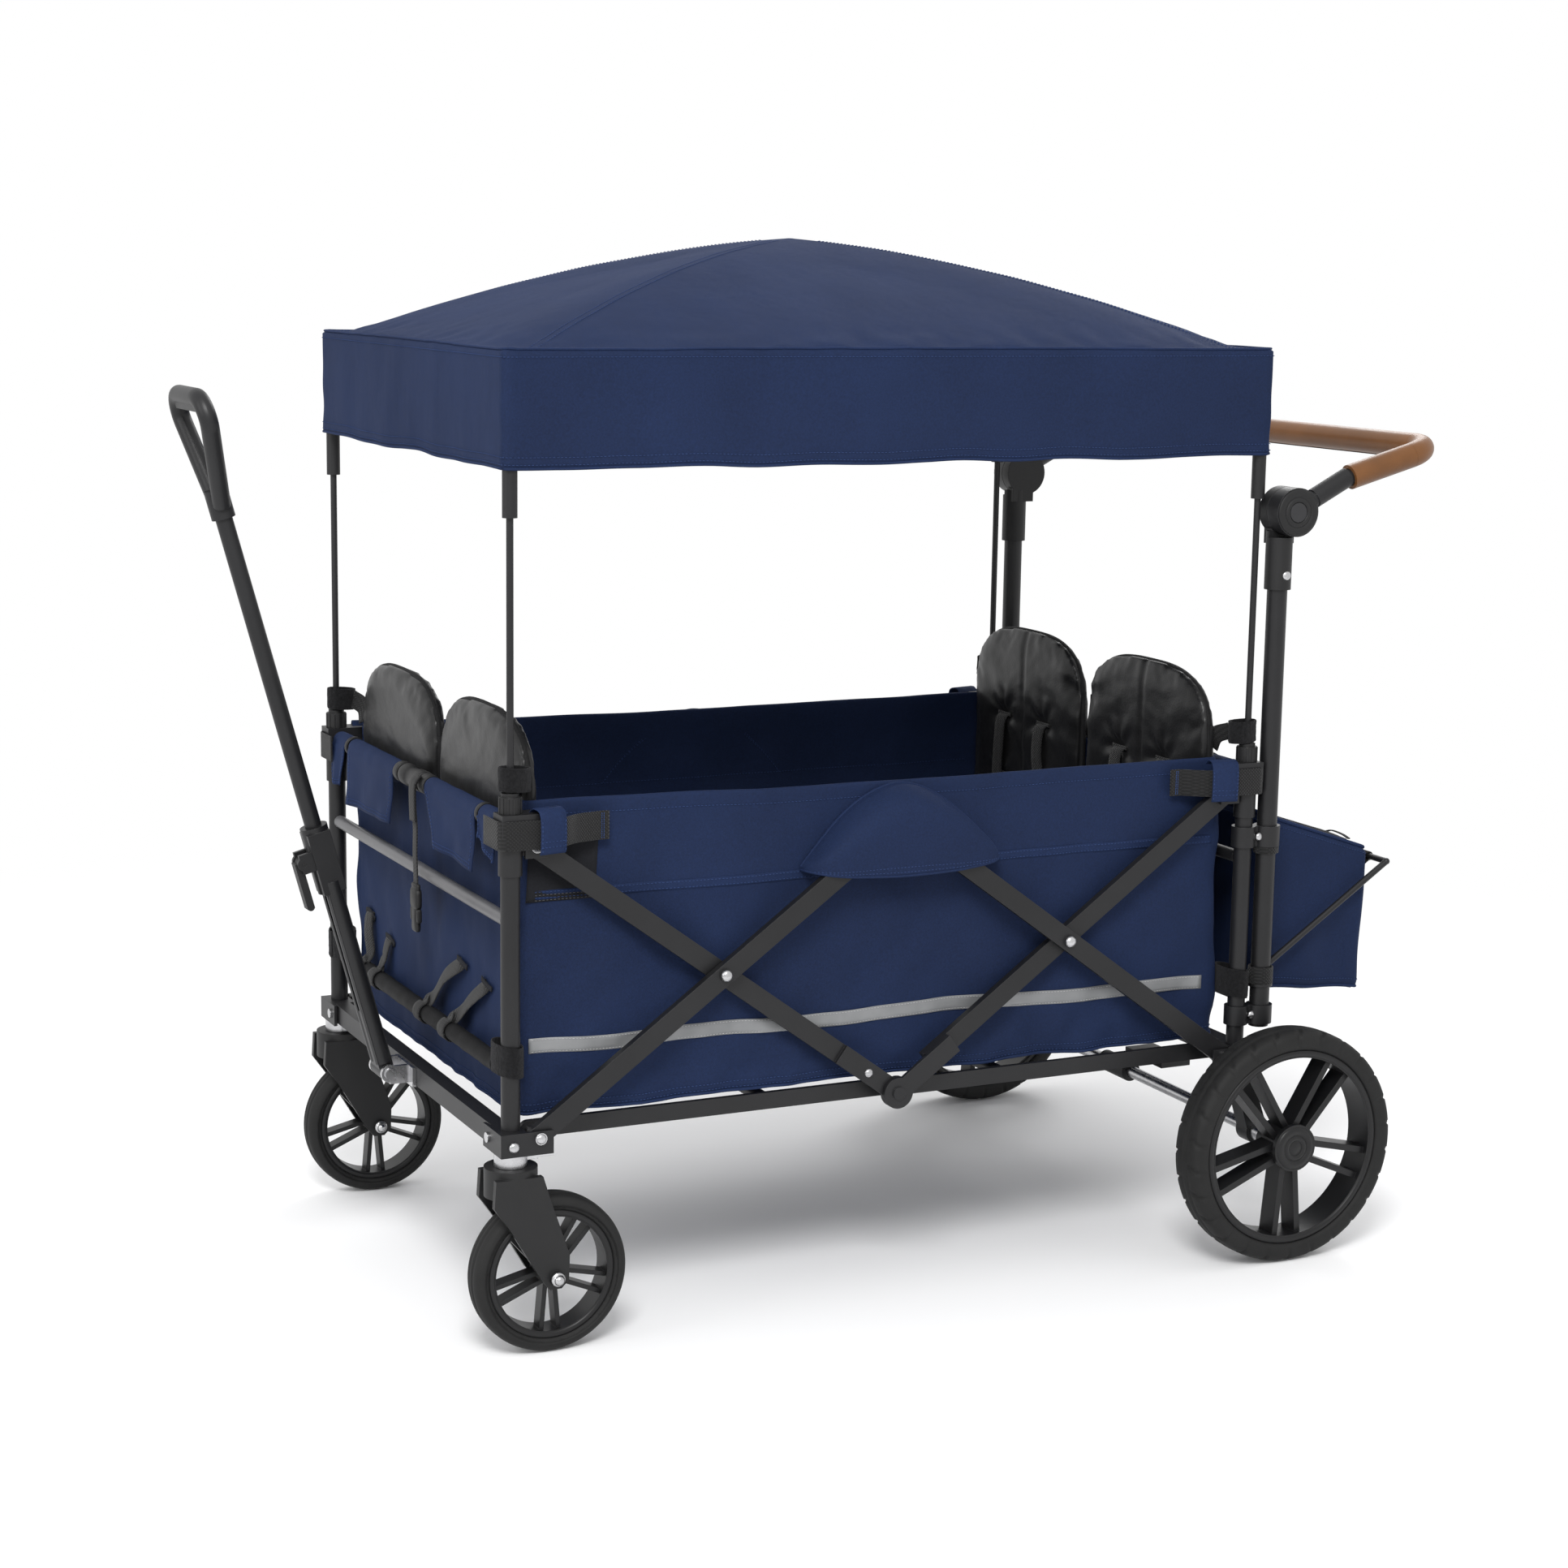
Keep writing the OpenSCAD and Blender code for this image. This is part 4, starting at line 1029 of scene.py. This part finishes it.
def build_backs():
    """One padded back is simulated, then the four are placed from it."""
    w, cy, z0, z1 = 286.0, -151.0, 289.0, 736.0
    x_out, x_in = TX - 9.5, TX - 31.0
    outline = back_outline(w - 6, z0 + 3, z1 - 3)
    n = len(outline)
    verts = [(x_in + 2, cy + a, b) for a, b in outline] + [(x_out - 2, cy + a, b) for a, b in outline]
    faces = [tuple(range(n)), tuple(reversed(range(n, 2 * n)))] + [(j, j + n, (j + 1) % n + n, (j + 1) % n)
        for j in range(n)]
    back = outward(mesh("pad_proto", verts, faces, "pad"))
    puffed(back, 3.6, 5.0, 6.0)
    ys, zs = [v.co.y / MM for v in back.data.vertices], [v.co.z / MM for v in back.data.vertices]
    (ya, yb), (za, zb) = (min(ys), max(ys)), (min(zs), max(zs))
    for v in back.data.vertices:
        v.co.y = (cy + (v.co.y / MM - (ya + yb) / 2) * (w - 6.0) / (yb - ya)) * MM
        v.co.z = (z0 + 2 + (v.co.z / MM - za) * (z1 - z0 - 5.0) / (zb - za)) * MM
    slots = [(s * 52, z) for s in (-1, 1) for z in (612, 528, 440)]
    for v in back.data.vertices:
        y, z = v.co.y / MM - cy, v.co.z / MM
        face = -1 if v.co.x / MM < (x_in + x_out) / 2 else 1
        d = 0.0
        for sy, sz in slots:
            d += 7.5 * math.exp(-(((y - sy) / 24) ** 2 + ((z - sz) / 11) ** 2)) if face < 0 else 0
            ang = math.atan2(z - sz, y - sy)
            far = math.hypot(y - sy, z - sz)
            if face < 0:
                d += 1.1 * math.sin(ang * 7 + sz) * math.exp(-((far - 24) / 20) ** 2)
        d += 2.3 * math.exp(-(y / 5) ** 2) if face < 0 else 0
        broad = noise.noise(Vector((y / 46 + z / 90, z / 34, 4.0 + face)))
        fine = noise.noise(Vector((y / 14, z / 11, face)))
        d += 1.6 * broad + 0.35 * fine
        rim = min(abs(abs(y) - w / 2), max(0.0, z1 - z))
        d += 0.5 * math.sin(z / 4.6 + 1.3 * math.sin(z / 17)) * math.exp(-rim / 9)
        v.co.x -= face * d * MM
    piping_line = [((x_in + x_out) / 2, cy + a, b) for a, b in back_outline(w - 8.5, z0 + 3, z1 - 5.0, 40)]
    pipe = tube("pipe_proto", smooth_path(piping_line, 3), 4.0, "pad_back", 0, False, 10)
    lips, belts = [], []
    for sy, sz in slots:
        line = [(x_in + 0.2, cy + sy - 17, sz), (x_in + 0.9, cy + sy, sz - 0.8),
            (x_in + 0.2, cy + sy + 17, sz)]
        lips.append(strap("lip", line, (-1, 0, 0), 5.5, 1.6, "web"))
    for sy in (-52, 52):
        y = cy + sy
        belts.append(strap("belt", [(x_in + 3, y, 612), (x_in - 6, y, 604), (x_in - 9, y, 570),
            (x_in - 7, y + sy * 0.1, 520), (x_in - 10, y - sy * 0.2, 455), (x_in - 16, y - sy * 0.55, 395),
            (x_in - 26, y - sy * 0.8, 352)], (-1, 0, 0.12), 26, 1.5, "web", 6))
        belts.append(strap("belt2", [(x_in + 3, y + sy * 0.5, 400), (x_in - 8, y + sy * 0.45, 380),
            (x_in - 22, y + sy * 0.1, 352), (x_in - 30, y - sy * 0.7, 338)], (-1, 0, 0.3), 26, 1.5, "web", 6))
    hub = [strap("hub", [(x_in - 31, cy - 13, 343), (x_in - 32, cy, 343), (x_in - 31, cy + 13, 343)],
        (-1, 0, 0.4), 30, 6.0, "plastic", 4)]
    sets = {"pad": back, "piping": pipe, "slots": merge("lips", lips), "belts": merge("belts_m", belts),
        "buckle": merge("hub_m", hub)}
    for end, sx, body, scale, node in (("rear", 1, "rear_top", 1.0, "rear_seatbacks"),
            ("front", -1, "front_top", (726 - 289) / (736 - 289), "front_seatbacks")):
        for side, sy in (("near", 1), ("far", -1)):
            for kind, proto in sets.items():
                o = mirrored(f"{end}_{side}_back_{kind}", proto, sx, sy)
                for v in o.data.vertices:
                    v.co.z = z0 * MM + (v.co.z - z0 * MM) * scale
                if kind == "pad":
                    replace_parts(o, node)
                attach(o, body)
    for proto in sets.values():
        bpy.data.objects.remove(proto)


build_backs()


def build_seats():
    """Low seat cushions, and the padded mat that covers the floor."""
    x0, x1, y0, y1, z0, z1 = TX - 246, TX - 56, TY - 26 - 270, TY - 26, TUB_Z0 + 15, TUB_Z0 + 34
    verts = [(x, y, z) for z in (z0, z1) for x, y in ((x0, y0), (x1, y0), (x1, y1), (x0, y1))]
    box = mesh("seat_proto", verts, [(3, 2, 1, 0), (4, 5, 6, 7), (0, 1, 5, 4), (1, 2, 6, 5), (2, 3, 7, 6),
        (3, 0, 4, 7)], "pad")
    puffed(box, 3.0, 5.0, 7.0)
    for v in box.data.vertices:
        x, y = v.co.x / MM - (x0 + x1) / 2, v.co.y / MM - (y0 + y1) / 2
        if v.co.z / MM > (z0 + z1) / 2:
            v.co.z -= (3.2 * math.exp(-(x / 5) ** 2) + 3.2 * math.exp(-((abs(y) - 45) / 5) ** 2)
                - 1.0 * noise.noise(Vector((x / 20, y / 20, 1)))) * MM
    for tag, sx, sy in (("rear_far", 1, 1), ("rear_near", 1, -1), ("front_far", -1, 1),
            ("front_near", -1, -1)):
        seat = mirrored(f"{tag}_seat", box, sx, sy)
        on_fold(seat)
    bpy.data.objects.remove(box)

    def floor(u, v):
        x, y = -TX + 12 + (2 * TX - 24) * u, -TY + 14 + (2 * TY - 28) * v
        quilt = 2.2 * abs(math.sin(math.pi * u * 7)) ** 0.5 * abs(math.sin(math.pi * v * 4)) ** 0.5
        return x, y, TUB_Z0 + 10.5 + quilt
    pad = thick(grid("floor_mat", 84, 56, floor, "pad_back"), 3.5)
    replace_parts(on_fold(pad), "floor_pad")


build_seats()


# canopy -----------------------------------------------------------------------
def roof_drop(r):
    """How far the roof has come down at r, 0 at the peak and 1 at the edge."""
    return 0.35 * r + 0.65 * r ** 1.95


def build_canopy():
    skirt_rows, roof_rows, nu = 20, 44, 400

    def skirt(u, z, inset=0.0):
        (x, y), (nx, ny) = rect_point(u, CW - 0.6, CD - 0.6, 6)
        low = step(SK1, SK0, z)
        corner = math.exp(-((abs(x) - CW) ** 2 + (abs(y) - CD) ** 2) / 2400)
        billow = (wob(x, y, z * 0.3, k=130, amp=2.6, seed=6.1) - 1.0) * low
        d = billow + wob(x, y, z * 0.4, k=42, amp=0.8, seed=4.4)
        d = d * (1 - corner) + (0.9 * math.sin(z / 9 + x / 17) * low + 0.6) * corner - inset
        return x + nx * d, y + ny * d, z + (wob(x, y, k=90, amp=2.4, seed=8.8)) * low

    def roof_parts(x, y, a, b):
        """Share of the way down, height without waves, the waves, and the raised line over a corner seam."""
        r = min(1.0, (a ** 7 + b ** 7) ** (1 / 7))
        sag = 5.0 * min(1.0, abs(a - b) / 0.35) * math.sin(math.pi * r) ** 1.2
        waves = wob(x, y, k=75, amp=1.5, seed=7.3) * r * (1.2 - r)
        raised = 1.2 * math.exp(-((a - b) / 0.012) ** 2) * r
        return r, SK1 + (PEAK - SK1) * (1 - roof_drop(r)) - sag, waves, raised

    def roof(u, s):
        """s is 0 at the edge and 1 at the peak."""
        (x, y), _ = rect_point(u, CW - 0.6, CD - 0.6, 6)
        k = 1 - s
        x, y = x * k, y * k
        a, b = abs(x) / CW, abs(y) / CD
        r, z, waves, raised = roof_parts(x, y, a, b)
        z = z + waves + raised
        z += 1.6 * wob(x, y, k=28, amp=1.0, seed=2.7) * step(0.8, 1.0, r) * (1 - step(0.985, 1.0, r))
        return x, y, min(z, PEAK + 1)

    rows = skirt_rows + roof_rows

    def point(u, v):
        i = round(v * (rows - 1))
        if i < skirt_rows:
            return skirt(u, SK0 + (SK1 - 3 - SK0) * i / (skirt_rows - 1))
        s = (i - skirt_rows) / (roof_rows - 1)
        return roof(u, 0.006 + 0.994 * s ** 1.15)

    cloth = grid("canopy_fabric", nu, rows, point, "navy", wrap_u=True)
    modified(cloth, "WELD", merge_threshold=0.0003)
    cloth = thick(outward(cloth), 1.5)
    on_fold(cloth, "rear_canopy_poles")
    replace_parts(cloth, "canopy")
    us = [i / 600 for i in range(601)]
    pads = [[Vector(skirt(u, z, -0.5)) for u in us] for z in (SK0 + 5, SK0 + 13, SK1 - 8)]
    welt = [Vector(roof(u, 0.004)) + Vector((0, 0, 0.4)) for u in us[:-1]]
    seams = []
    for cx, cy in ((1, 1), (-1, 1), (1, -1), (-1, -1)):
        for off in (-4.5, 4.5):
            line = []
            for i in range(2, 95):
                s = i / 100
                x, y = cx * (CW - 6) * (1 - s), cy * (CD - 6) * (1 - s)
                ang = math.atan2(CW, CD)
                x2, y2 = x + off * math.cos(ang) * cx, y - off * math.sin(ang) * cy
                a, b = min(1, abs(x2) / CW), min(1, abs(y2) / CD)
                _, z, waves, raised = roof_parts(x2, y2, a, b)
                z += waves + raised
                line.append((x2, y2, z + 0.5))
            seams.append(line)
    thread = stitches("canopy_stitching", pads + seams)
    hem = tube("canopy_hem", [Vector(skirt(u, SK0 + 0.8, 0.6)) for u in us[:-1:2]], 1.7, "navy_trim",
        smooth=0, closed=True, n=8)
    edge = tube("canopy_welt", welt[::2], 1.5, "navy_trim", smooth=0, closed=True, n=8)
    crown = lathe("canopy_button", [(0.1, 2.6), (4, 2.4), (6.6, 1.4), (7.6, 0.0), (6.8, -2.6), (0.1, -2.8)],
        (0, 0, 0), 1, "navy_trim", 36)
    for v in crown.data.vertices:
        v.co = Vector((v.co.x, v.co.z, v.co.y + (PEAK - 2.6) * MM))
    outward(crown)
    for o in (thread, hem, edge, crown):
        on_fold(o, "rear_canopy_poles")
    ribs = mirrored("canopy_rib_frame", nodes["canopy_ribs"])
    on_fold(ribs, "rear_canopy_poles")
    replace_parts(ribs, "canopy_ribs")


build_canopy()


# rear bag ---------------------------------------------------------------------
def build_bag():
    """A lofted shell that sags from its hoop, with a zipped lid."""
    xi, xo, half = PUSH_X + 15.5, PUSH_X + 203.0, 288.0
    lid_z, lid_fall = 551, 62

    def ring_point(u, s):
        """s is 0 at the bottom and 1 at the rim."""
        (x, y), (nx, ny) = rect_point(u, 1.0, 1.0, 0.22)
        depth, mid = (xo - xi) / 2, (xi + xo) / 2
        share = (x + 1) / 2
        z_low = 318 - 16 * share + wob(x * 100, y * 280, k=90, amp=5, seed=1.1)
        z_top = lid_z - lid_fall * share
        z = z_low + (z_top - z_low) * s
        pinch = 1 - 0.035 * math.sin(math.pi * s) + 0.012
        bx, by = mid + x * depth * (0.985 if s > 0.9 else 0.985 * pinch), y * half * (1 - 0.03 * (1 - s))
        fold = wob(bx, by, z * 0.6, k=52, amp=4.2, seed=3.3) * math.sin(math.pi * min(1, s + 0.08)) - 2.2
        fold += 2.4 * math.sin(by / 17 + z / 30) * step(0.5, 0.0, s) * (1 if x > 0.6 else 0.35)
        fold -= 9.0 * (1 - math.sqrt(max(0.0, 1 - max(0.0, (abs(s - 0.5) - 0.44) / 0.06) ** 2)))
        bx2, by2 = bx + nx * fold, by + ny * fold
        return max(xi, min(xo + 4, bx2)), by2, z

    nu, rows_wall, rows_cap = 220, 34, 12

    def point(u, v):
        i = round(v * (rows_cap * 2 + rows_wall - 1))
        if i < rows_cap:
            x, y, z = ring_point(u, 0.0)
            k = i / rows_cap
            mid = (xi + xo) / 2
            return mid + (x - mid) * k, y * k, z - 4 + 6 * k ** 6 + wob(x * k, y * k, k=60, amp=2)
        i -= rows_cap
        if i < rows_wall:
            return ring_point(u, i / (rows_wall - 1))
        k = 1 - (i - rows_wall + 1) / rows_cap
        x, y, z = ring_point(u, 1.0)
        mid = (xi + xo) / 2
        lx = mid + (x - mid) * k
        plane = lid_z - lid_fall * (lx - xi) / (xo - xi)
        return lx, y * k, plane + 5 * (1 - k ** 2.4) - 1.5 + wob(lx, y * k, k=70, amp=2.6, seed=6) * (1 - k)

    bag = grid("rear_bag_shell", nu, rows_cap * 2 + rows_wall, point, "navy", wrap_u=True)
    modified(bag, "WELD", merge_threshold=0.0003)
    outward(bag)
    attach(bag, "rear_frame")
    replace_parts(bag, "rear_bag")
    us = [i / 300 for i in range(301)]

    def at(u, s, out):
        _, (nx, ny) = rect_point(u, 1.0, 1.0, 0.22)
        p = Vector(ring_point(u, s))
        return p + Vector((nx, ny, 0)) * out

    rim = tube("bag_rim_piping", [at(u, 0.995, 0.3) for u in us[:-1]], 2.3, "navy_trim", smooth=0,
        closed=True, n=8)
    seam = tube("bag_base_piping", [at(u, 0.02, 0.3) for u in us[:-1]], 1.9, "navy_trim", smooth=0,
        closed=True, n=8)
    thread = stitches("bag_stitching", [[at(u, s, 0.6) for u in us] for s in (0.955, 0.07)])
    zip_line = []
    for i in range(120):
        t = i / 119
        y = -half * 0.9 + 2 * half * 0.9 * t
        x = xo - 26 - 18 * abs(2 * t - 1) ** 6
        k = max(abs(x - (xi + xo) / 2) / ((xo - xi) * 0.4925), abs(y) / half)
        zip_line.append((x, y, lid_z - lid_fall * (x - xi) / (xo - xi) + 5 * (1 - k ** 2.4) - 0.6))
    tape = strap("bag_zip_tape", zip_line, (0.25, 0, 1), 24, 1.2, "charcoal", 0)
    teeth = stitches("bag_zip_teeth", [[(x, y, z + 1.2) for x, y, z in zip_line]], "thread_grey", 2.6, 1.7,
        1.5)
    pull = strap("bag_zip_pull", [(xo - 30, -214, 503), (xo - 26, -222, 505), (xo - 20, -236, 502),
        (xo - 17, -246, 498)], (0.2, 0, 1), 7, 1.6, "web")
    for o in (rim, seam, thread, tape, teeth, pull):
        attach(o, "rear_frame")
    # tabs that hang the bag from its hoop and from the push posts
    tabs = []
    hoop_x, hoop_z = PUSH_X + 208.4, 476.0
    for y in (-250, -90, 90, 250):
        path = [(hoop_x - 14, y, hoop_z + 12), (hoop_x - 7, y, hoop_z + 6),
            *[(hoop_x + 5.4 * math.cos(math.radians(a)), y, hoop_z + 5.4 * math.sin(math.radians(a)))
            for a in range(130, -120, -25)], (hoop_x - 8, y, hoop_z - 12), (hoop_x - 8.5, y, hoop_z - 26)]
        tabs.append(strap(f"tab{y}", path, lambda k: (1, 0, 0.4), 24, 1.5, "web", 3))
    for sy in (-1, 1):
        for z in (520, 352):
            ring = [(PUSH_X + 15.2 * math.cos(math.radians(a)),
                sy * PUSH_Y + 15.2 * math.sin(math.radians(a)), z) for a in range(0, 360, 20)]
            tabs.append(sweep(f"ring{sy}{z}", ring, [(b, a) for a, b in strap_section(22, 1.6)], (0, 0, 1),
                "web", True))
            tabs.append(strap(f"tie{sy}{z}", [(PUSH_X + 14.6, sy * (PUSH_Y - 5), z),
                (PUSH_X + 18, sy * (PUSH_Y - 18), z), (PUSH_X + 22, sy * (PUSH_Y - 37), z - 1),
                (PUSH_X + 30, sy * (PUSH_Y - 38.6), z - 1)], (0.6, sy * 0.8, 0), 22, 1.5, "web", 4))
    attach(merge("bag_hanging_tabs", tabs), "rear_frame")


build_bag()


# tyres, rims and hardware -----------------------------------------------------
def build_tyre(name, cx, cy, cz, ro, ri, w, blocks, body, node, turn):
    """A foam tyre with slanted shoulder sipes and a ribbed crown."""
    h = w / 2
    profile = [(ri + 0.4, -h * 0.84), (ri + 3, -h * 0.95), (ri + 7, -h * 0.995), (ro - 13, -h),
        (ro - 9.5, -h), (ro - 6, -h * 0.955), (ro - 3, -h * 0.84), (ro - 1.5, -h * 0.7),
        (ro - 0.75, -h * 0.56), (ro - 0.3, -h * 0.42), (ro - 0.1, -h * 0.24), (ro - 0.1, -h * 0.2),
        (ro, -h * 0.1), (ro, 0)]
    profile += [(r, -a) for r, a in reversed(profile[:-1])]
    n = blocks * 20
    verts = []
    for i in range(n):
        ang = 2 * math.pi * i / n
        for r, a in profile:
            side = 1 if a > 0 else -1
            out = abs(a) / h
            phase = (i / 20 + (0.42 * (1 - out) + 0.5 * (side > 0)) * turn) % 1.0
            sipe = 1 if abs(phase - 0.5) < 0.075 else 0
            zone = step(0.3, 0.42, out) * step(ri + 4, ro - 15, r)
            cut = 1.9 * sipe * zone
            if 0.19 < out < 0.26:
                cut += 1.3
            rr = r - cut * (0.4 + 0.6 * (r > ro - 8))
            aa = a - side * cut * 0.55 * (r < ro - 2)
            verts.append((cx + rr * math.cos(ang), cy + aa, cz + rr * math.sin(ang)))
    k = len(profile)
    faces = [(i * k + j, (i + 1) % n * k + j, (i + 1) % n * k + (j + 1) % k, i * k + (j + 1) % k)
        for i in range(n) for j in range(k)]
    tyre = outward(mesh(name, verts, faces, "tyre"))
    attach(tyre, body)
    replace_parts(tyre, node)


def cap(name, cx, cy, cz, way, profile, mat, body, n=48):
    """A turned cover on a wheel or bolt, facing the way along Y."""
    o = lathe(name, profile, (cx, cy, cz), way, mat, n)
    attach(o, body)


def build_wheels():
    for side, sy in (("left", -1), ("right", 1)):
        build_tyre(f"rear_tread_{side}", REAR_X, sy * REAR_Y, REAR_R, REAR_R, 124.1, 50, 26,
            f"rear_wheel_{side}", f"rear_tyre_{side}", 1)
        build_tyre(f"front_tread_{side}", FRONT_X, sy * FRONT_Y, FRONT_R, FRONT_R, 75.2, 38, 20,
            f"front_wheel_{side}", f"front_tyre_{side}", 1)
        body = f"rear_wheel_{side}"
        face = REAR_Y + 26
        cap(f"rear_hub_cap_{side}", REAR_X, sy * face, REAR_R, sy,
            [(0.1, 1.6), (8.5, 1.6), (9.2, 0.8), (10, 0.8), (10.7, 2.2), (15, 2.2), (15.8, 0.9), (17, 0.9),
            (17.6, 2.4), (25.5, 1.6), (27.8, -0.6), (28, -4)], "rim", body)
        # outer rim lip, with a step, on both faces
        for tag, s in (("out", sy), ("in", -sy)):
            lip = [(124.6, 20.2), (123.4, 22.2), (119.5, 22.6), (116.6, 21.2), (115.6, 18.8), (115.2, 14),
                (118, 14), (124.2, 16)]
            cap(f"rear_rim_lip_{tag}_{side}", REAR_X, sy * REAR_Y, REAR_R, s, [*lip, lip[0]], "rim", body, 96)
            lip = [(75.8, 15.2), (74.6, 17.0), (71.2, 17.2), (68.8, 16.0), (68.0, 13.6), (67.8, 10), (70, 10),
                (75.2, 12)]
            cap(f"front_rim_lip_{tag}_{side}", FRONT_X, sy * FRONT_Y, FRONT_R, s, [*lip, lip[0]], "rim",
                f"front_wheel_{side}", 80)
        for tag, s in (("out", sy), ("in", -sy)):
            face = sy * FRONT_Y + s * (36.0 if tag == "out" else 35.0)
            nut = [(0.1, 8.4), (2.4, 8.0), (4.6, 6.6), (5.9, 4.4), (6.2, 2.2), (7.6, 1.8), (8.4, 0.6),
                (8.4, -0.5)]
            cap(f"front_axle_nut_{tag}_{side}", FRONT_X, face, FRONT_R, s, nut, "steel", f"swivel_{side}", 32)


build_wheels()


def build_hardware():
    dome = [(0.1, 4.4), (2.6, 4.1), (5.0, 3.0), (6.6, 1.4), (7.2, -0.4)]

    def head(wide, tall):
        return [(a * wide, b * tall) for a, b in dome]

    for side, sy in (("near", -1), ("far", 1)):
        for end, x, body in (("front", -229, "bar_b"), ("rear", 229, "bar_c")):
            cap(f"{end}_cross_rivet_{side}", x, sy * 341.1, 422, sy, dome, "steel", body, 32)
        for end, x, body in (("front", -38, "bar_a"), ("rear", 38, "bar_d")):
            slope = 332.0 / 458.0
            z = 256 + 38 * slope
            cap(f"{end}_knuckle_rivet_{side}", x, sy * 331, z, sy, head(0.8, 0.8), "steel", body, 28)
        for end, sx, body in (("front", -1, "front_frame"), ("rear", 1, "rear_frame")):
            cap(f"{end}_bracket_bolt_{side}", sx * (PX + 4), sy * 345.4, 249, sy, head(0.85, 0.7), "steel",
                body, 28)
            cap(f"{end}_pivot_bolt_{side}", sx * 458, sy * 346.4, 256, sy, head(0.85, 0.7), "steel", body, 28)
        # push handle hub rings and the clamp screws
        ring = [(28.6, -0.4), (28.6, 0.9), (27.6, 1.6), (19.5, 1.6), (18.8, 0.8), (18.2, 0.8), (17.4, 2.0),
            (13.4, 2.0), (12.6, 1.2), (12.6, -0.4)]
        cap(f"push_hub_ring_{side}", HUB_X, sy * (PUSH_Y + 24), HUB_Z, sy, ring, "plastic", "push_handle", 64)
        for z in (531, 302):
            cap(f"clamp_screw_{side}_{z}", 502, sy * 333.7, z, sy, head(0.72, 0.6), "steel", "rear_frame", 28)
        cap(f"hinge_base_screw_{side}", PUSH_X + 2, sy * (PUSH_Y + 16.2), 858, sy, head(0.8, 0.6), "steel",
            "rear_frame", 28)


build_hardware()


def build_grip_seams():
    """Stitched seams on the push grip, with a dark slit between the two rows of stitches."""
    arm = math.radians(15.5)
    gx, gz = HUB_X + 84 * math.cos(math.radians(27.4)), HUB_Z + 84 * math.sin(math.radians(27.4))
    bow_r, yh = 36.0, PUSH_Y + 12.5
    bow_l = (HUB_X + 208 - gx) / math.cos(arm) - bow_r

    def world(a, y, n):
        return gx + a * math.cos(arm) - n * math.sin(arm), y, gz + a * math.sin(arm) + n * math.cos(arm)

    def line(radius, lift, start=10):
        pts = []
        for a in range(start, int(bow_l), 4):
            pts.append((a, -yh - radius, lift))
        for k in range(0, 91, 6):
            t = math.radians(k)
            pts.append((bow_l + (bow_r + radius) * math.sin(t), -yh + bow_r - (bow_r + radius) * math.cos(t),
                lift))
        half = [*pts, *[(bow_l + bow_r + radius, y, lift) for y in range(int(-yh + bow_r) + 4, 0, 6)]]
        return [world(*p) for p in half] + [world(a, -y, n) for a, y, n in reversed(half)]

    r = 15.6
    threads = []
    for ang in (-62, -74):
        t = math.radians(ang)
        threads.append(line(-r * math.cos(t), r * math.sin(t)))
    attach(stitches("push_grip_stitching", threads, "tan", 4.4, 3.0, 0.6), "push_handle")
    slit = line(-r * math.cos(math.radians(-68)), r * math.sin(math.radians(-68)))
    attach(sweep("push_grip_slit", slit, round_section(1.1, 6), (0, 0, 1), "charcoal"), "push_handle")


build_grip_seams()


# room, light and camera -------------------------------------------------------
def build_stage():
    bpy.ops.mesh.primitive_plane_add(size=160, location=(0, 0, -0.0005))
    ground = bpy.context.object
    ground.name = "studio_floor"
    ground.data.materials.append(M["floor"])
    world = scene.world or bpy.data.worlds.new("studio")
    scene.world = world
    world.use_nodes = True
    world.node_tree.nodes["Background"].inputs["Color"].default_value = (1, 1, 1, 1)
    world.node_tree.nodes["Background"].inputs["Strength"].default_value = 1.0

    def area(name, at, aim, size, watts, tall=None):
        light = bpy.data.lights.new(name, "AREA")
        light.shape = "RECTANGLE"
        light.size, light.size_y, light.energy = size, tall or size, watts
        ob = bpy.data.objects.new(name, light)
        scene.collection.objects.link(ob)
        ob.location = at
        ob.rotation_euler = (Vector(aim) - Vector(at)).to_track_quat("-Z", "Y").to_euler()

    area("key", (-1.6, -2.9, 3.3), (0, 0, 0.6), 1.3, 128)
    area("fill", (-3.6, -0.6, 1.8), (0, 0, 0.6), 1.6, 20)
    area("rim", (2.4, 2.2, 2.8), (0, 0, 0.8), 1.4, 34)


def build_camera():
    """Stands where the picture was taken: yaw from +Y towards +X, pitch down, small roll."""
    yaw, pitch, roll = math.radians(25.69), math.radians(10.15), math.radians(0.87)
    fwd = Vector((math.sin(yaw) * math.cos(pitch), math.cos(yaw) * math.cos(pitch), -math.sin(pitch)))
    right = Vector((math.cos(yaw), -math.sin(yaw), 0))
    up = right.cross(fwd)
    r2 = right * math.cos(roll) + up * math.sin(roll)
    u2 = -right * math.sin(roll) + up * math.cos(roll)
    data = bpy.data.cameras.new("camera")
    data.sensor_width = 36
    focal_px, picture_px = 3665.69, 1932
    data.lens = focal_px / picture_px * 36
    cam = bpy.data.objects.new("camera", data)
    scene.collection.objects.link(cam)
    rot = Matrix((r2, u2, -fwd)).transposed()
    cam.matrix_world = Matrix.Translation(Vector((-1612.3, -3359.3, 1240.9)) * MM) @ rot.to_4x4()
    scene.camera = cam


build_stage()
build_camera()
scene.view_settings.view_transform = "Standard"
